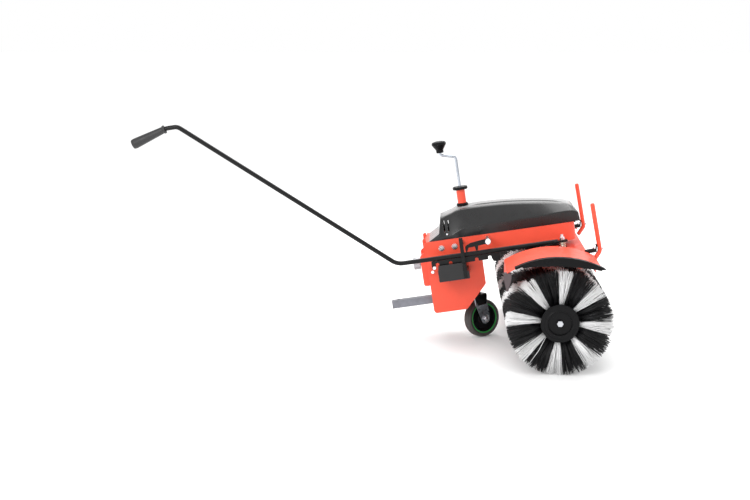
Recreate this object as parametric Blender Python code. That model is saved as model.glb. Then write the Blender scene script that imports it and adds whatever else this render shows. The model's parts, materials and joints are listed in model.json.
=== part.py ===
# Front sweeping brush for a two-wheel garden tractor.
# Metres, +X forwards (the way the brush pushes), +Y to the machine's left, +Z up, floor at Z = 0.
# The frame is pitched up at the front, so most pieces are drawn square to the beam and
# stand under one tilted empty. The brush, its hoods and stays are drawn level.

from math import acos, asin, atan2, cos, degrees, hypot, pi, radians, sin, tan

import bmesh
import bpy
from mathutils import Matrix, Vector

# Clearances
SEAT = 0.0003          # between two pieces that touch
RUN = 0.0005           # round a piece that turns or slides in another
SWING = 0.0006         # above and below the rod's eye, which rocks on its bolt

# The whole machine
FRAME_TILT = radians(8.8)
SHEET = 0.004          # folded steel of the beam and crossbar
PLATE = 0.005          # side plates and rear flange

# Brush
BRUSH_RADIUS = 0.175
BRUSH_FLAT = 0.0005    # how far the lowest tips are pressed flat on the floor
BRUSH_HALF_LENGTH = 0.458
BRUSH_GAP = 0.084      # between the two halves, for the gearbox
CORE_RADIUS = 0.060
SHAFT_RADIUS = 0.016
TUFTS_ROUND = 24
TUFT_ROWS = 7
TUFT_TWIST = radians(75)
TUFT_PHASE = radians(83)
TUFT_SPREAD = 0.80     # share of the pitch that a tuft's tip fills, round the brush
TUFT_ROOT = 0.70       # share of a row's pitch that a tuft's root fills, along the brush
TUFT_TIP = 0.92        # the same at its tip
WHITE_EVERY = 3        # one tuft in three is white
HUB_RADIUS = 0.063
HUB_THICKNESS = 0.010
HUB_RECESS_RADIUS = 0.043
HUB_RECESS = 0.004
END_BOLT_RADIUS = 0.011
END_BOLT_SHANK = 0.006

# Beam
BEAM_REAR = -0.383
BEAM_FRONT = 0.147
BEAM_BOTTOM = 0.366
BEAM_DEPTH = 0.064
BEAM_HALF_WIDTH = 0.100
BEAM_CORNER = 0.030    # radius of its front corners, seen from above
BOLT_SHANK = 0.004
BOLT_HEAD = 0.0075     # half the width of a hexagon across its corners
BOLT_HEAD_HEIGHT = 0.0055
BEAM_BOLTS = (("front", -0.284), ("rear", -0.331))
BEAM_BOLT_DROP = 0.029  # below the beam's top

# Side plates, in the beam's own directions
SIDE_REAR = -0.390
SIDE_BOTTOM = 0.168
SIDE_TOE = -0.271
SIDE_FRONT = -0.192
SIDE_KNEE = 0.251

# Rear flange and coupling bar
FLANGE_DEPTH = 0.025
FLANGE_HALF_WIDTH = 0.065
FLANGE_BOTTOM = 0.265
FLANGE_NECK = 0.010     # of the flange's shoulder above the beam's underside
EAR_RISE = 0.008        # of the flange's ears above the beam's top
WEB_BOTTOM = 0.170
EAR_DEPTH = 0.008
BAR_SIZE = 0.028
BAR_WALL = 0.003
BAR_HEIGHT = 0.202
BAR_REAR = -0.542
BAR_FRONT = -0.343
BAR_SHOULDER = 0.001    # step on each side, where the bar's tail goes through the flange
BAR_PIN_HOLE = 0.006
BAR_PIN_AT = 0.024     # from the rear end of the bar

# Swivel of the brush head
WORM_OFFSET = 0.050    # worm shaft in front of the brush shaft
NECK_RADIUS = 0.028
NECK_HUB_RADIUS = 0.033
NECK_FLANGE_CLEARANCE = 0.0105
NECK_FLANGE = 0.0127
NECK_ABOVE_RING = 0.002
SWIVEL_PLATE = 0.006
SWIVEL_PLATE_REAR = -0.020
SWIVEL_RING_RADIUS = 0.042
SWIVEL_RING = 0.008
GEARBOX_RADIUS = 0.058
GEARBOX_HALF_WIDTH = 0.034
GEARBOX_WALL = 0.007
COLUMN_RADIUS = 0.024  # of the casting round the worm
SPIGOT_RADIUS = 0.022  # where the forked tongue of the crossbar grips it
WORM_SHAFT_RADIUS = 0.008
WORM_RADIUS = 0.013
WORM_LENGTH = 0.050
WORM_STUB = 0.006      # of the worm shaft below the worm
WHEEL_FACE = 0.022     # width of the worm wheel

# Belt drive under the cover
BELT_RISE = 0.027       # above the beam's top
BELT_DEPTH = 0.008
BELT_WIDTH = 0.013
BELT_ROOT = 0.007      # width of the belt's inner face
FRONT_PULLEY_RADIUS = 0.060
REAR_PULLEY_RADIUS = 0.031
PULLEY_WIDTH = 0.018
REAR_PULLEY_AT = -0.290
INPUT_HEIGHT = 0.340
INPUT_SHAFT_RADIUS = 0.010
INPUT_REAR = -0.443
DOG_RADIUS = 0.022
DOG_LENGTH = 0.025
DOG_SLOT = 0.010
BEVEL_RADIUS = 0.0205
BEVEL_FACE = 0.011
HOUSING_HALF_LENGTH = 0.036
HOUSING_HALF_WIDTH = 0.042
HOUSING_BOTTOM = 0.300
HOUSING_WALL = 0.008

# Belt cover: its outline from the rear wall to the nose, each (along, above the beam's top)
COVER_WALL = 0.0035
COVER_ROUNDING = 0.004
COVER_FOOT = ((-0.372, -0.0045), (-0.293, -0.0045), (-0.236, -0.0045), (-0.097, -0.0045),
              (0.024, -0.0045), (0.102, -0.0045), (0.140, -0.0045), (0.168, -0.0045))
COVER_CREASE = ((-0.341, 0.0095), (-0.293, 0.018), (-0.236, 0.031), (-0.097, 0.036),
                (0.024, 0.037), (0.102, 0.042), (0.135, 0.044), (0.163, 0.032))
COVER_TOP = ((-0.321, 0.074), (-0.279, 0.086), (-0.236, 0.098), (-0.097, 0.094),
             (0.024, 0.081), (0.102, 0.067), (0.130, 0.060), (0.153, 0.047))
COVER_TOP_HALF = 0.062
COVER_CREASE_HALF = 0.103
COVER_FOOT_HALF = 0.101
VENT_WIDTH = 0.005
VENT_LOW = 0.026        # above the beam's top
VENT_HIGH = 0.064
VENTS_AT = (-0.311, -0.296)

# Height spindle, guide tube and caster
POST_AT = -0.236
TUBE_RADIUS = 0.0155
TUBE_WALL = 0.003
TUBE_STAND = 0.060      # above the cover
TUBE_BOTTOM = 0.262
COLLAR_RADIUS = 0.021
COLLAR_HEIGHT = 0.011
DISC_RADIUS = 0.027
DISC_THICKNESS = 0.010
DISC_HOLES = 8
DISC_HOLE_RADIUS = 0.0035
DISC_SPIGOT = 0.008
SPINDLE_RADIUS = 0.005
SPINDLE_BOTTOM = 0.330
CRANK_STAND = 0.119     # of the crank's first bend above the tube
CRANK_THROW = 0.053
CRANK_RISE = 0.013
KNOB_RADIUS = 0.026
KNOB_NECK_RADIUS = 0.013
KNOB_HEIGHT = 0.042
KNOB_GAP = 0.009        # between the crank's second bend and the knob
POST_TOP = 0.520
POST_BORE_BOTTOM = 0.300
HUB_TOP = 0.2133       # of the yoke, where the post's shoulder rests
YOKE_BOTTOM = 0.1925
YOKE_PLATE = 0.005
YOKE_HUB_RADIUS = 0.020
YOKE_DEPTH = 0.033
STUB_RADIUS = 0.0095
STUB_HEAD_RADIUS = 0.013
STUB_HEAD = 0.005
WHEEL_RADIUS = 0.069
TYRE_WIDTH = 0.040
TYRE_SHOULDER = 0.006
RIM_RADIUS = 0.055
RIM_WEB = 0.008
RIM_HUB_RADIUS = 0.015
TYRE_SIDES = 32
TYRE_GAP = 0.0022      # between the tyre and a fork cheek
TRAIL = 0.013
CASTER_TURN = radians(215)
FORK_PLATE = 0.004
FORK_WIDTH = 0.042     # of one cheek, along the wheel
AXLE_RADIUS = 0.006
AXLE_HEAD = 0.010       # half the width of its hexagons across their corners

# Control rod, its comb and its guide
ROD_RADIUS = 0.008
ROD_SIDE = 0.185       # distance of the rod from the centre plane
ROD_RISE = 0.017       # above the beam's underside
STUD_AT = 0.090
STUD_RADIUS = 0.005
STUD_HEAD_RADIUS = 0.0085
STUD_HEAD = 0.0075
STUD_NUT = 0.010
STUD_TIP = 0.009
ROD_LOW_BEND = -0.490
ROD_TOP_BEND = (-1.173, 0.972)
GRIP_START = (-1.212, 0.972)
GRIP_END = (-1.342, 0.933)
GRIP_ROOT_RADIUS = 0.012
GRIP_TIP_RADIUS = 0.018
GRIP_BORE = 0.106      # how far the rod reaches into the grip
TAB_THICKNESS = 0.006
TAB_HALF_WIDTH = 0.013
TAB_FRONT = 0.018
TAB_REAR = 0.030
TAB_HOLE = 0.0062
ROD_STOP = 0.016       # from the stud to the end of the round rod
GRIP_SLIP = 0.006      # of straight rod between its last bend and the grip
COMB_THICKNESS = 0.006
COMB_DROP = 0.028       # of its lower edge below the rod's centre
COMB_PITCH = 0.046
COMB_SLOTS = 5
COMB_SLOT_WIDTH = 0.012
COMB_SLOT_DEPTH = 0.012
COMB_CENTRE = -0.258
COMB_REAR = -0.371
COMB_FRONT = -0.130
COMB_LOBE = 0.028
COMB_LOBE_DEPTH = 0.009
PIN_RADIUS = 0.0045
PIN_CLEARANCE = 0.002  # the latch is drawn open: the comb rides this far above the pin
BLOCK_REAR = -0.352
BLOCK_FRONT = -0.244
BLOCK_DEPTH = 0.0435
BLOCK_GAP = 0.0125     # between its top and the comb
BLOCK_LIP = 0.003      # how far its near wall rises past the comb's lower edge
BLOCK_WALL = 0.004
BLOCK_STEP = (0.006, 0.016)
STRAP_THICKNESS = 0.004
STRAP_WIDTH = 0.013
STRAP_GAP = 0.006      # between the rod and the strap
STRAP_ARM_RISE = 0.034  # above the rod's centre
STRAP_RISE = 0.063
STRAP_TAIL = 0.040      # of the strap below the block's top
PAWL_ALONG = -0.165
PAWL_RISE = 0.035       # above the rod's centre
PAWL_THICKNESS = 0.006
PAWL_BORE = 0.005
PAWL_EYE = 0.011
PAWL_HEAD = 0.0105
PAWL_NUT = 0.0075
PAWL_FAR_FINGER = -0.243
PAWL_NEAR_FINGER = -0.207
SPRING_RADIUS = 0.0088
SPRING_WIRE = 0.0012
SPRING_CURLS = 5
CURL_POINTS = 9

# Brush head: crossbar, hoods and stays
CROSS_TOP = 0.342
CROSS_REAR = 0.110
CROSS_FRONT = 0.165
CROSS_HALF_LENGTH = 0.478
CROSS_LIP = 0.022
TONGUE_REAR = 0.036
TONGUE_HALF_WIDTH = 0.036
BRACKET_HALF_WIDTH = 0.022
BRACKET_REAR = 0.072
BRACKET_STEP = (0.108, 0.1145)
BRACKET_FRONT = 0.150
BRACKET_RISE = 0.0072
HOOD_INNER = 0.275
HOOD_OUTER = 0.500
HOOD_SHEET = 0.003
HOOD_STEPS = 12
HOOD_RADIUS = 0.317    # inside its roof
HOOD_CENTRE = (-0.005, 0.069)
HOOD_FRONT = 0.130
HOOD_REAR = -0.171
HOOD_BOTTOM = 0.2845
TRIM_DEPTH = 0.020
TRIM_LAP = 0.0025      # of the edge trim over each face of the sheet
TRIM_END = 0.0032
TRIM_NOSE = 0.009
TRIM_SAG = 0.023       # of its end plate below the roof, at the middle
FLAP_HALF_WIDTH = 0.0125
FLAP_TOP = 0.3375
FLAP_SHOULDER = 0.318
FLAP_POINT = 0.006     # below the rear wall
STAY_SIDE = 0.262
STAY_RADIUS = 0.0075
STAY_TOP = (0.120, 0.535)
STAY_PIN = (0.149, 0.384)
STAY_KNEE = (0.1513, 0.372)
STAY_FOOT = (0.131, 0.339)
STAY_BEND = 0.020
BRACE_HALF_WIDTH = 0.010
BRACE_SHEET = 0.003
BRACE_FOOT = 0.072
BRACE_TAB = 0.136      # rear face of its upright tab
BRACE_RISE = 0.008
BRACE_TOP = 0.396
BRACE_SIDE_HEIGHT = 0.012

# Finishes: colour, roughness, metallic
FINISHES = {
    "red_paint": ((0.80, 0.055, 0.030), 0.38, 0.0),
    "black_plastic": ((0.045, 0.045, 0.047), 0.55, 0.0),
    "black_paint": ((0.022, 0.022, 0.024), 0.45, 0.0),
    "rubber": ((0.018, 0.018, 0.019), 0.75, 0.0),
    "zinc": ((0.62, 0.63, 0.65), 0.32, 1.0),
    "chrome": ((0.78, 0.79, 0.80), 0.12, 1.0),
    "steel": ((0.42, 0.42, 0.43), 0.40, 1.0),
    "cast_iron": ((0.06, 0.06, 0.065), 0.60, 0.3),
    "black_bristle": ((0.015, 0.015, 0.016), 0.60, 0.0),
    "white_bristle": ((0.78, 0.79, 0.82), 0.50, 0.0),
}

# Sizes that follow from the ones above
AXLE_HEIGHT = BRUSH_RADIUS - BRUSH_FLAT
BRUSH_U = AXLE_HEIGHT * sin(FRAME_TILT)
BRUSH_W = AXLE_HEIGHT * cos(FRAME_TILT)
SWIVEL_U = BRUSH_U + WORM_OFFSET
BEAM_TOP = BEAM_BOTTOM + BEAM_DEPTH
BEAM_BOLT_HEIGHT = BEAM_TOP - BEAM_BOLT_DROP
FLANGE_SHOULDER = BEAM_BOTTOM + FLANGE_NECK
FLANGE_TOP = BEAM_TOP + EAR_RISE
BELT_HEIGHT = BEAM_TOP + BELT_RISE
TUBE_TOP = BEAM_TOP + dict(COVER_TOP)[POST_AT] + TUBE_STAND
CRANK_BEND = TUBE_TOP + CRANK_STAND
KNOB_BOTTOM = CRANK_BEND + CRANK_RISE + KNOB_GAP
ROD_HEIGHT = BEAM_BOTTOM + ROD_RISE
COMB_BOTTOM = ROD_HEIGHT - COMB_DROP
COMB_SLOT_TOP = COMB_BOTTOM + COMB_SLOT_DEPTH
COMB_LOBE_BOTTOM = COMB_BOTTOM - COMB_LOBE_DEPTH
BLOCK_TOP = COMB_BOTTOM - BLOCK_GAP
BLOCK_BOTTOM = BLOCK_TOP - BLOCK_DEPTH
STRAP_ARM = ROD_HEIGHT + STRAP_ARM_RISE
STRAP_TOP = ROD_HEIGHT + STRAP_RISE
PAWL_AT = (PAWL_ALONG, ROD_HEIGHT + PAWL_RISE)
ROD_Y = -ROD_SIDE
BEAM_INNER = BEAM_HALF_WIDTH - SHEET
SIDE_OUTER = BEAM_INNER - SEAT
SIDE_INNER = SIDE_OUTER - PLATE
SIDE_TOP = BEAM_TOP - SHEET - SEAT
WEB_FRONT = BEAM_REAR - SEAT
WEB_REAR = WEB_FRONT - PLATE
PLATE_BOTTOM = BEAM_BOTTOM + SHEET
PLATE_TOP = PLATE_BOTTOM + SWIVEL_PLATE
RING_TOP = PLATE_TOP + RUN + SWIVEL_RING
NECK_FLANGE_RADIUS = BEAM_FRONT - SHEET - SWIVEL_U - NECK_FLANGE_CLEARANCE
WORM_WHEEL_RADIUS = WORM_OFFSET - WORM_RADIUS - RUN
CORE_END = BRUSH_GAP / 2 + BRUSH_HALF_LENGTH
PIN_HEIGHT = COMB_BOTTOM - PIN_CLEARANCE - PIN_RADIUS
STRAP_INNER = ROD_SIDE + ROD_RADIUS + STRAP_GAP
POST_RADIUS = TUBE_RADIUS - TUBE_WALL - RUN
FORK_INNER = TYRE_WIDTH / 2 + TYRE_GAP
FORK_OUTER = FORK_INNER + FORK_PLATE
BRACKET_TOP = CROSS_TOP + SEAT + BRACKET_RISE + SHEET
TAB_BOTTOM = ROD_HEIGHT - TAB_THICKNESS / 2
TAB_TOP = ROD_HEIGHT + TAB_THICKNESS / 2
CROSS_BOTTOM = CROSS_TOP - SHEET


def clear_scene():
    for old in list(bpy.data.objects):
        bpy.data.objects.remove(old, do_unlink=True)


def finish(name):
    """One Principled material per finish."""
    found = bpy.data.materials.get(name)
    if found:
        return found
    colour, roughness, metallic = FINISHES[name]
    made = bpy.data.materials.new(name)
    made.use_nodes = True
    shader = made.node_tree.nodes["Principled BSDF"]
    shader.inputs["Base Color"].default_value = (*colour, 1)
    shader.inputs["Roughness"].default_value = roughness
    shader.inputs["Metallic"].default_value = metallic
    made.diffuse_color = (*colour, 1)
    return made


def empty(name, parent=None, at=(0, 0, 0), turn=(0, 0, 0)):
    made = bpy.data.objects.new(name, None)
    made.empty_display_size = 0.05
    bpy.context.scene.collection.objects.link(made)
    made.parent = parent
    made.location = at
    made.rotation_euler = turn
    bpy.context.view_layer.update()
    return made


def level(name, parent, machine):
    """An empty under parent whose axes and origin are those of the machine."""
    made = empty(name, parent)
    made.matrix_basis = parent.matrix_world.inverted() @ machine.matrix_world
    bpy.context.view_layer.update()
    return made


def place(obj, parent, finish_name, at=(0, 0, 0), turn=(0, 0, 0), sharp=35):
    bpy.context.scene.collection.objects.link(obj)
    obj.parent = parent
    obj.location = at
    obj.rotation_euler = turn
    if finish_name:
        obj.data.materials.append(finish(finish_name))
    if obj.type == "MESH":
        obj.data.shade_smooth()
        obj.data.set_sharp_from_angle(angle=radians(sharp))
    return obj


def solid(name, builder):
    """A mesh object from a bmesh, with every face turned outwards."""
    bmesh.ops.recalc_face_normals(builder, faces=builder.faces)
    mesh = bpy.data.meshes.new(name)
    builder.to_mesh(mesh)
    builder.free()
    return bpy.data.objects.new(name, mesh)


def prism(name, outline, low, high, along="Y"):
    """An outline extruded from low to high: (x, z) points along Y, (x, y) along Z, (y, z) along X."""
    made = bmesh.new()
    if along == "Y":
        corners = [made.verts.new((a, low, b)) for a, b in outline]
        travel = Vector((0, high - low, 0))
    elif along == "Z":
        corners = [made.verts.new((a, b, low)) for a, b in outline]
        travel = Vector((0, 0, high - low))
    else:
        corners = [made.verts.new((low, a, b)) for a, b in outline]
        travel = Vector((high - low, 0, 0))
    face = made.faces.new(corners)
    grown = bmesh.ops.extrude_face_region(made, geom=[face])["geom"]
    moved = [item for item in grown if isinstance(item, bmesh.types.BMVert)]
    bmesh.ops.translate(made, verts=moved, vec=travel)
    made.faces.ensure_lookup_table()
    if len(made.faces) == len(corners) + 1:
        made.faces.new(corners)
    return solid(name, made)


def block(name, low, high):
    outline = [(low[0], low[2]), (high[0], low[2]), (high[0], high[2]), (low[0], high[2])]
    return prism(name, outline, low[1], high[1])


def turned(name, profile, sides, along="Z", centre=(0, 0, 0), start=0.0):
    """A profile of (radius, height) spun round an axis. Its ends meet the axis, or it is closed on itself."""
    made = bmesh.new()
    points = [made.verts.new((r * cos(start), r * sin(start), height)) for r, height in profile]
    edges = [made.edges.new(pair) for pair in zip(points, points[1:])]
    if profile[0][0] > 0:
        edges.append(made.edges.new((points[-1], points[0])))
    bmesh.ops.spin(made, geom=points + edges, cent=(0, 0, 0), axis=(0, 0, 1), angle=2 * pi, steps=sides)
    bmesh.ops.remove_doubles(made, verts=made.verts, dist=1e-6)
    turn = {
        "X": Matrix.Rotation(pi / 2, 4, "Y"),
        "Y": Matrix.Rotation(-pi / 2, 4, "X"),
        "Z": Matrix.Identity(4),
    }
    bmesh.ops.transform(made, matrix=Matrix.Translation(centre) @ turn[along], verts=made.verts)
    return solid(name, made)


def turned_open(name, profile, sides):
    """The same round Z, for a profile with one run on the axis between its two ends or at one end."""
    made = bmesh.new()
    angles = [2 * pi * k / sides for k in range(sides)]
    rings = []
    for radius, height in profile:
        if radius == 0:
            rings.append([made.verts.new((0, 0, height))] * sides)
        else:
            rings.append([made.verts.new((radius * cos(a), radius * sin(a), height)) for a in angles])
    for lower, upper in zip(rings, rings[1:] + rings[:1]):
        for k in range(sides):
            corners = list(dict.fromkeys((lower[k - 1], lower[k], upper[k], upper[k - 1])))
            if len(corners) > 2:
                made.faces.new(corners)
    return solid(name, made)


def cylinder(name, radius, low, high, sides, along="Z", centre=(0, 0, 0), start=0.0):
    return turned(name, [(0, low), (radius, low), (radius, high), (0, high)], sides, along, centre, start)


def helper(obj, parent):
    """A cutter or a shape to be joined: kept out of the model."""
    bpy.context.scene.collection.objects.link(obj)
    obj.parent = parent
    obj.hide_render = True
    obj.display_type = "WIRE"


def combine(obj, other, operation):
    """A live exact Boolean. The other shape stands in the object's own coordinates."""
    helper(other, obj)
    modifier = obj.modifiers.new(other.name, "BOOLEAN")
    modifier.operation = operation
    modifier.solver = "EXACT"
    modifier.object = other


def cut(obj, *cutters):
    for cutter in cutters:
        combine(obj, cutter, "DIFFERENCE")
    return obj


def join(obj, *others):
    for other in others:
        combine(obj, other, "UNION")
    return obj


def arc(centre, radius, start, end, steps):
    """Points on an arc, in degrees, both ends included."""
    angles = [radians(start + (end - start) * k / steps) for k in range(steps + 1)]
    return [(centre[0] + radius * cos(angle), centre[1] + radius * sin(angle)) for angle in angles]


def rounded(corners, radii, steps=2):
    """An outline with each corner rounded to its radius. A radius of 0 keeps the corner."""
    outline = []
    count = len(corners)
    for i, radius in enumerate(radii):
        here = Vector(corners[i])
        if radius == 0:
            outline.append(tuple(here))
            continue
        into = (Vector(corners[i - 1]) - here).normalized()
        out = (Vector(corners[(i + 1) % count]) - here).normalized()
        half = into.angle(out) / 2
        middle = here + (into + out).normalized() * radius / sin(half)
        start = here + into * radius / tan(half) - middle
        end = here + out * radius / tan(half) - middle
        turned_by = [start.slerp(end, k / steps).normalized() * radius for k in range(steps + 1)]
        outline += [tuple(middle + spoke) for spoke in turned_by]
    return outline


def strip(points, thickness):
    """The outline of a folded sheet whose one face runs through the points. The other lies to their left."""
    offset = []
    for i, point in enumerate(points):
        here = Vector(point)
        into = (here - Vector(points[i - 1])).normalized() if i else None
        out = (Vector(points[i + 1]) - here).normalized() if i < len(points) - 1 else into
        into = into or out
        left = Vector((-(into + out).y, (into + out).x)).normalized()
        offset.append(tuple(here + left * thickness / left.dot(Vector((-into.y, into.x)))))
    return list(points) + offset[::-1]


def bent_path(points, bends):
    """Straight runs through (x, y, z) points, with each corner between them bent to its radius."""
    path = [Vector(points[0])]
    for before, corner, after, radius in zip(points, points[1:], points[2:], bends):
        here = Vector(corner)
        into = (Vector(before) - here).normalized()
        out = (Vector(after) - here).normalized()
        half = into.angle(out) / 2
        middle = here + (into + out).normalized() * radius / sin(half)
        start = here + into * radius / tan(half) - middle
        end = here + out * radius / tan(half) - middle
        steps = max(2, round(start.angle(end) / radians(14)))
        path += [middle + start.slerp(end, k / steps).normalized() * radius for k in range(steps + 1)]
    return path + [Vector(points[-1])]


def bar(name, path, radius, sides):
    """A round bar along a path. Its ring of points keeps its roll from one point to the next."""
    made = bmesh.new()
    rings = []
    side = (path[1] - path[0]).orthogonal()
    for i, spot in enumerate(path):
        out = (path[min(i + 1, len(path) - 1)] - path[min(i, len(path) - 2)]).normalized()
        into = (path[max(i, 1)] - path[max(i - 1, 0)]).normalized()
        heading = (into + out).normalized()
        side = (side - heading * side.dot(heading)).normalized()
        other = heading.cross(side)
        angles = [2 * pi * k / sides for k in range(sides)]
        rings.append([made.verts.new(spot + (side * cos(a) + other * sin(a)) * radius) for a in angles])
    for lower, upper in zip(rings, rings[1:]):
        for k in range(sides):
            made.faces.new((lower[k - 1], lower[k], upper[k], upper[k - 1]))
    made.faces.new(rings[0])
    made.faces.new(rings[-1])
    return solid(name, made)


def beam_to_level(u, w):
    """A point given along and square to the beam, as level distance and height."""
    return u * cos(FRAME_TILT) - w * sin(FRAME_TILT), u * sin(FRAME_TILT) + w * cos(FRAME_TILT)


def bolt(name, shank, head, heights, along="Z", centre=(0, 0, 0), nut=True):
    """A hexagon bolt. Heights: end of the shank, nut's outer face, nut's inner face, under the head, top."""
    tip, nut_far, nut_near, seat, top = heights
    middle = (seat + top) / 2
    made = cylinder(name, shank, min(tip, middle), max(tip, middle), 12, along, centre)
    parts = [cylinder(name + "_head", head, min(seat, top), max(seat, top), 6, along, centre)]
    if nut:
        low, high = sorted((nut_far, nut_near))
        parts.append(cylinder(name + "_nut", head, low, high, 6, along, centre))
    return join(made, *parts)


def main_beam(frame):
    """The folded beam: an inverted channel, closed and rounded at its front end."""
    def outline(rear, front, half, corner):
        corners = [(rear, -half), (front, -half), (front, half), (rear, half)]
        return rounded(corners, (0, corner, corner, 0), 4)

    outer = outline(BEAM_REAR, BEAM_FRONT, BEAM_HALF_WIDTH, BEAM_CORNER)
    inner = outline(BEAM_REAR - 0.01, BEAM_FRONT - SHEET, BEAM_INNER, BEAM_CORNER - SHEET)
    body = prism("main_beam", outer, BEAM_BOTTOM, BEAM_TOP, "Z")
    cut(body, prism("beam_hollow", inner, BEAM_BOTTOM - 0.01, BEAM_TOP - SHEET, "Z"))
    low, high = BEAM_TOP - 2 * SHEET, BEAM_TOP + SHEET
    cut(body, cylinder("tube_hole", TUBE_RADIUS + SEAT, low, high, 20, "Z", (POST_AT, 0, 0)))
    loose = WORM_SHAFT_RADIUS + 4 * RUN
    cut(body, cylinder("pulley_hole", loose, low, high, 16, "Z", (REAR_PULLEY_AT, 0, 0)))
    cut(body, cylinder("worm_hole", loose, low, high, 16, "Z", (SWIVEL_U, 0, 0)))
    near, far = -BEAM_HALF_WIDTH - SHEET, -BEAM_INNER + SHEET
    for end, at in BEAM_BOLTS:
        hole = cylinder(end + "_bolt_hole", BOLT_SHANK + SEAT, near, far, 12, "Y", (at, 0, BEAM_BOLT_HEIGHT))
        cut(body, hole)
    cut(body, cylinder("stud_hole", PAWL_BORE + SEAT, near, far, 12, "Y", (PAWL_AT[0], 0, PAWL_AT[1])))
    place(body, frame, "red_paint")


def side_plate(frame, side):
    """A plate that hangs inside the beam's wall, on the right (-1) or the left (1)."""
    name = "side_plate_right" if side < 0 else "side_plate_left"
    corners = [(SIDE_REAR, SIDE_BOTTOM), (SIDE_TOE, SIDE_BOTTOM), (SIDE_FRONT, SIDE_KNEE),
               (SIDE_FRONT, SIDE_TOP), (SIDE_REAR, SIDE_TOP)]
    low, high = sorted((side * SIDE_INNER, side * SIDE_OUTER))
    body = prism(name, rounded(corners, (0.012, 0.012, 0.012, 0.003, 0.003), 4), low, high)
    if side < 0:
        for end, at in BEAM_BOLTS:
            centre = (at, 0, BEAM_BOLT_HEIGHT)
            shank = BOLT_SHANK + SEAT
            cut(body, cylinder(end + "_plate_hole", shank, low - PLATE, high + PLATE, 12, "Y", centre))
        centre = (COMB_CENTRE, 0, PIN_HEIGHT)
        cut(body, cylinder("pin_hole", PIN_RADIUS + SEAT, low - PLATE, high + PLATE, 16, "Y", centre))
    place(body, frame, "red_paint")


def rear_flange(frame):
    """The plate across the rear, with the drive's opening, the bar's square hole and two flanges."""
    half, narrow = SIDE_INNER - SEAT, FLANGE_HALF_WIDTH
    low, top = WEB_BOTTOM, FLANGE_TOP - 0.010
    shoulder = BEAM_BOTTOM - 0.005
    corners = [(-half, low), (half, low), (half, shoulder), (narrow, shoulder), (narrow, top), (-narrow, top),
               (-narrow, shoulder), (-half, shoulder)]
    outline = rounded(corners, (0.008, 0.008, 0.006, 0, 0.006, 0.006, 0, 0.006))
    body = prism("rear_flange", outline, WEB_REAR, WEB_FRONT, "X")
    deep = WEB_REAR - FLANGE_DEPTH
    ear = WEB_REAR - EAR_DEPTH
    flange = [(WEB_FRONT - 0.001, FLANGE_BOTTOM), (deep, FLANGE_BOTTOM), (deep, FLANGE_SHOULDER),
              (ear, FLANGE_SHOULDER + 0.012), (ear, FLANGE_TOP), (WEB_FRONT - 0.001, FLANGE_TOP)]
    for side in (-1, 1):
        y = sorted((side * FLANGE_HALF_WIDTH, side * (FLANGE_HALF_WIDTH - PLATE)))
        join(body, prism(f"flange_{side}", rounded(flange, (0, 0.008, 0.008, 0.004, 0.006, 0)), y[0], y[1]))
    rear, front = WEB_REAR - 0.01, WEB_FRONT + 0.01
    around = INPUT_SHAFT_RADIUS + 0.004
    cut(body, cylinder("drive_opening", around, rear, front, 20, "X", (0, 0, INPUT_HEIGHT)))
    hole = BAR_SIZE / 2 - BAR_SHOULDER + SEAT
    cut(body, block("bar_hole", (rear, -hole, BAR_HEIGHT - hole), (front, hole, BAR_HEIGHT + hole)))
    place(body, frame, "red_paint")


def coupling_bar(frame):
    """The square tube that slides into the machine behind, with its cross hole for a pin."""
    half = BAR_SIZE / 2
    inside, tail = half - BAR_WALL, half - BAR_SHOULDER
    seat = WEB_REAR - SEAT
    body = block("coupling_bar", (BAR_REAR, -half, BAR_HEIGHT - half), (seat, half, BAR_HEIGHT + half))
    low = (seat - BAR_WALL, -tail, BAR_HEIGHT - tail)
    join(body, block("bar_tail", low, (BAR_FRONT, tail, BAR_HEIGHT + tail)))
    low = (BAR_REAR - 0.01, -inside, BAR_HEIGHT - inside)
    cut(body, block("bar_hollow", low, (BAR_FRONT + 0.01, inside, BAR_HEIGHT + inside)))
    centre = (BAR_REAR + BAR_PIN_AT, 0, BAR_HEIGHT)
    cut(body, cylinder("bar_pin_hole", BAR_PIN_HOLE, -BAR_SIZE, BAR_SIZE, 16, "Z", centre))
    place(body, frame, "zinc")


def swivel_plate(frame):
    """The plate inside the beam's front end that the brush head hangs from and turns in."""
    front, half = BEAM_FRONT - SHEET - SEAT, BEAM_INNER - SEAT
    corner = BEAM_CORNER - SHEET - SEAT
    corners = [(SWIVEL_PLATE_REAR, -half), (front, -half), (front, half), (SWIVEL_PLATE_REAR, half)]
    body = prism("swivel_plate", rounded(corners, (0, corner, corner, 0), 4), PLATE_BOTTOM, PLATE_TOP, "Z")
    centre = (SWIVEL_U, 0, 0)
    around = NECK_RADIUS + 2 * RUN
    cut(body, cylinder("neck_hole", around, PLATE_BOTTOM - 0.01, PLATE_TOP + 0.01, 20, "Z", centre))
    place(body, frame, "red_paint")


def guide_tube(frame):
    profile = [(TUBE_RADIUS - TUBE_WALL, TUBE_BOTTOM), (TUBE_RADIUS, TUBE_BOTTOM), (TUBE_RADIUS, TUBE_TOP),
               (TUBE_RADIUS - TUBE_WALL, TUBE_TOP)]
    place(turned("guide_tube", profile, 20, "Z", (POST_AT, 0, 0)), frame, "red_paint")


def tube_collar(frame):
    """The collar at the foot of the tube, just above the cover."""
    low = TUBE_TOP - TUBE_STAND + SEAT
    inner = TUBE_RADIUS + SEAT
    profile = [(inner, low), (COLLAR_RADIUS, low), (COLLAR_RADIUS, low + COLLAR_HEIGHT * 0.6),
               (COLLAR_RADIUS - 0.002, low + COLLAR_HEIGHT), (inner, low + COLLAR_HEIGHT)]
    place(turned("tube_collar", profile, 20, "Z", (POST_AT, 0, 0)), frame, "black_plastic")


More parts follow.
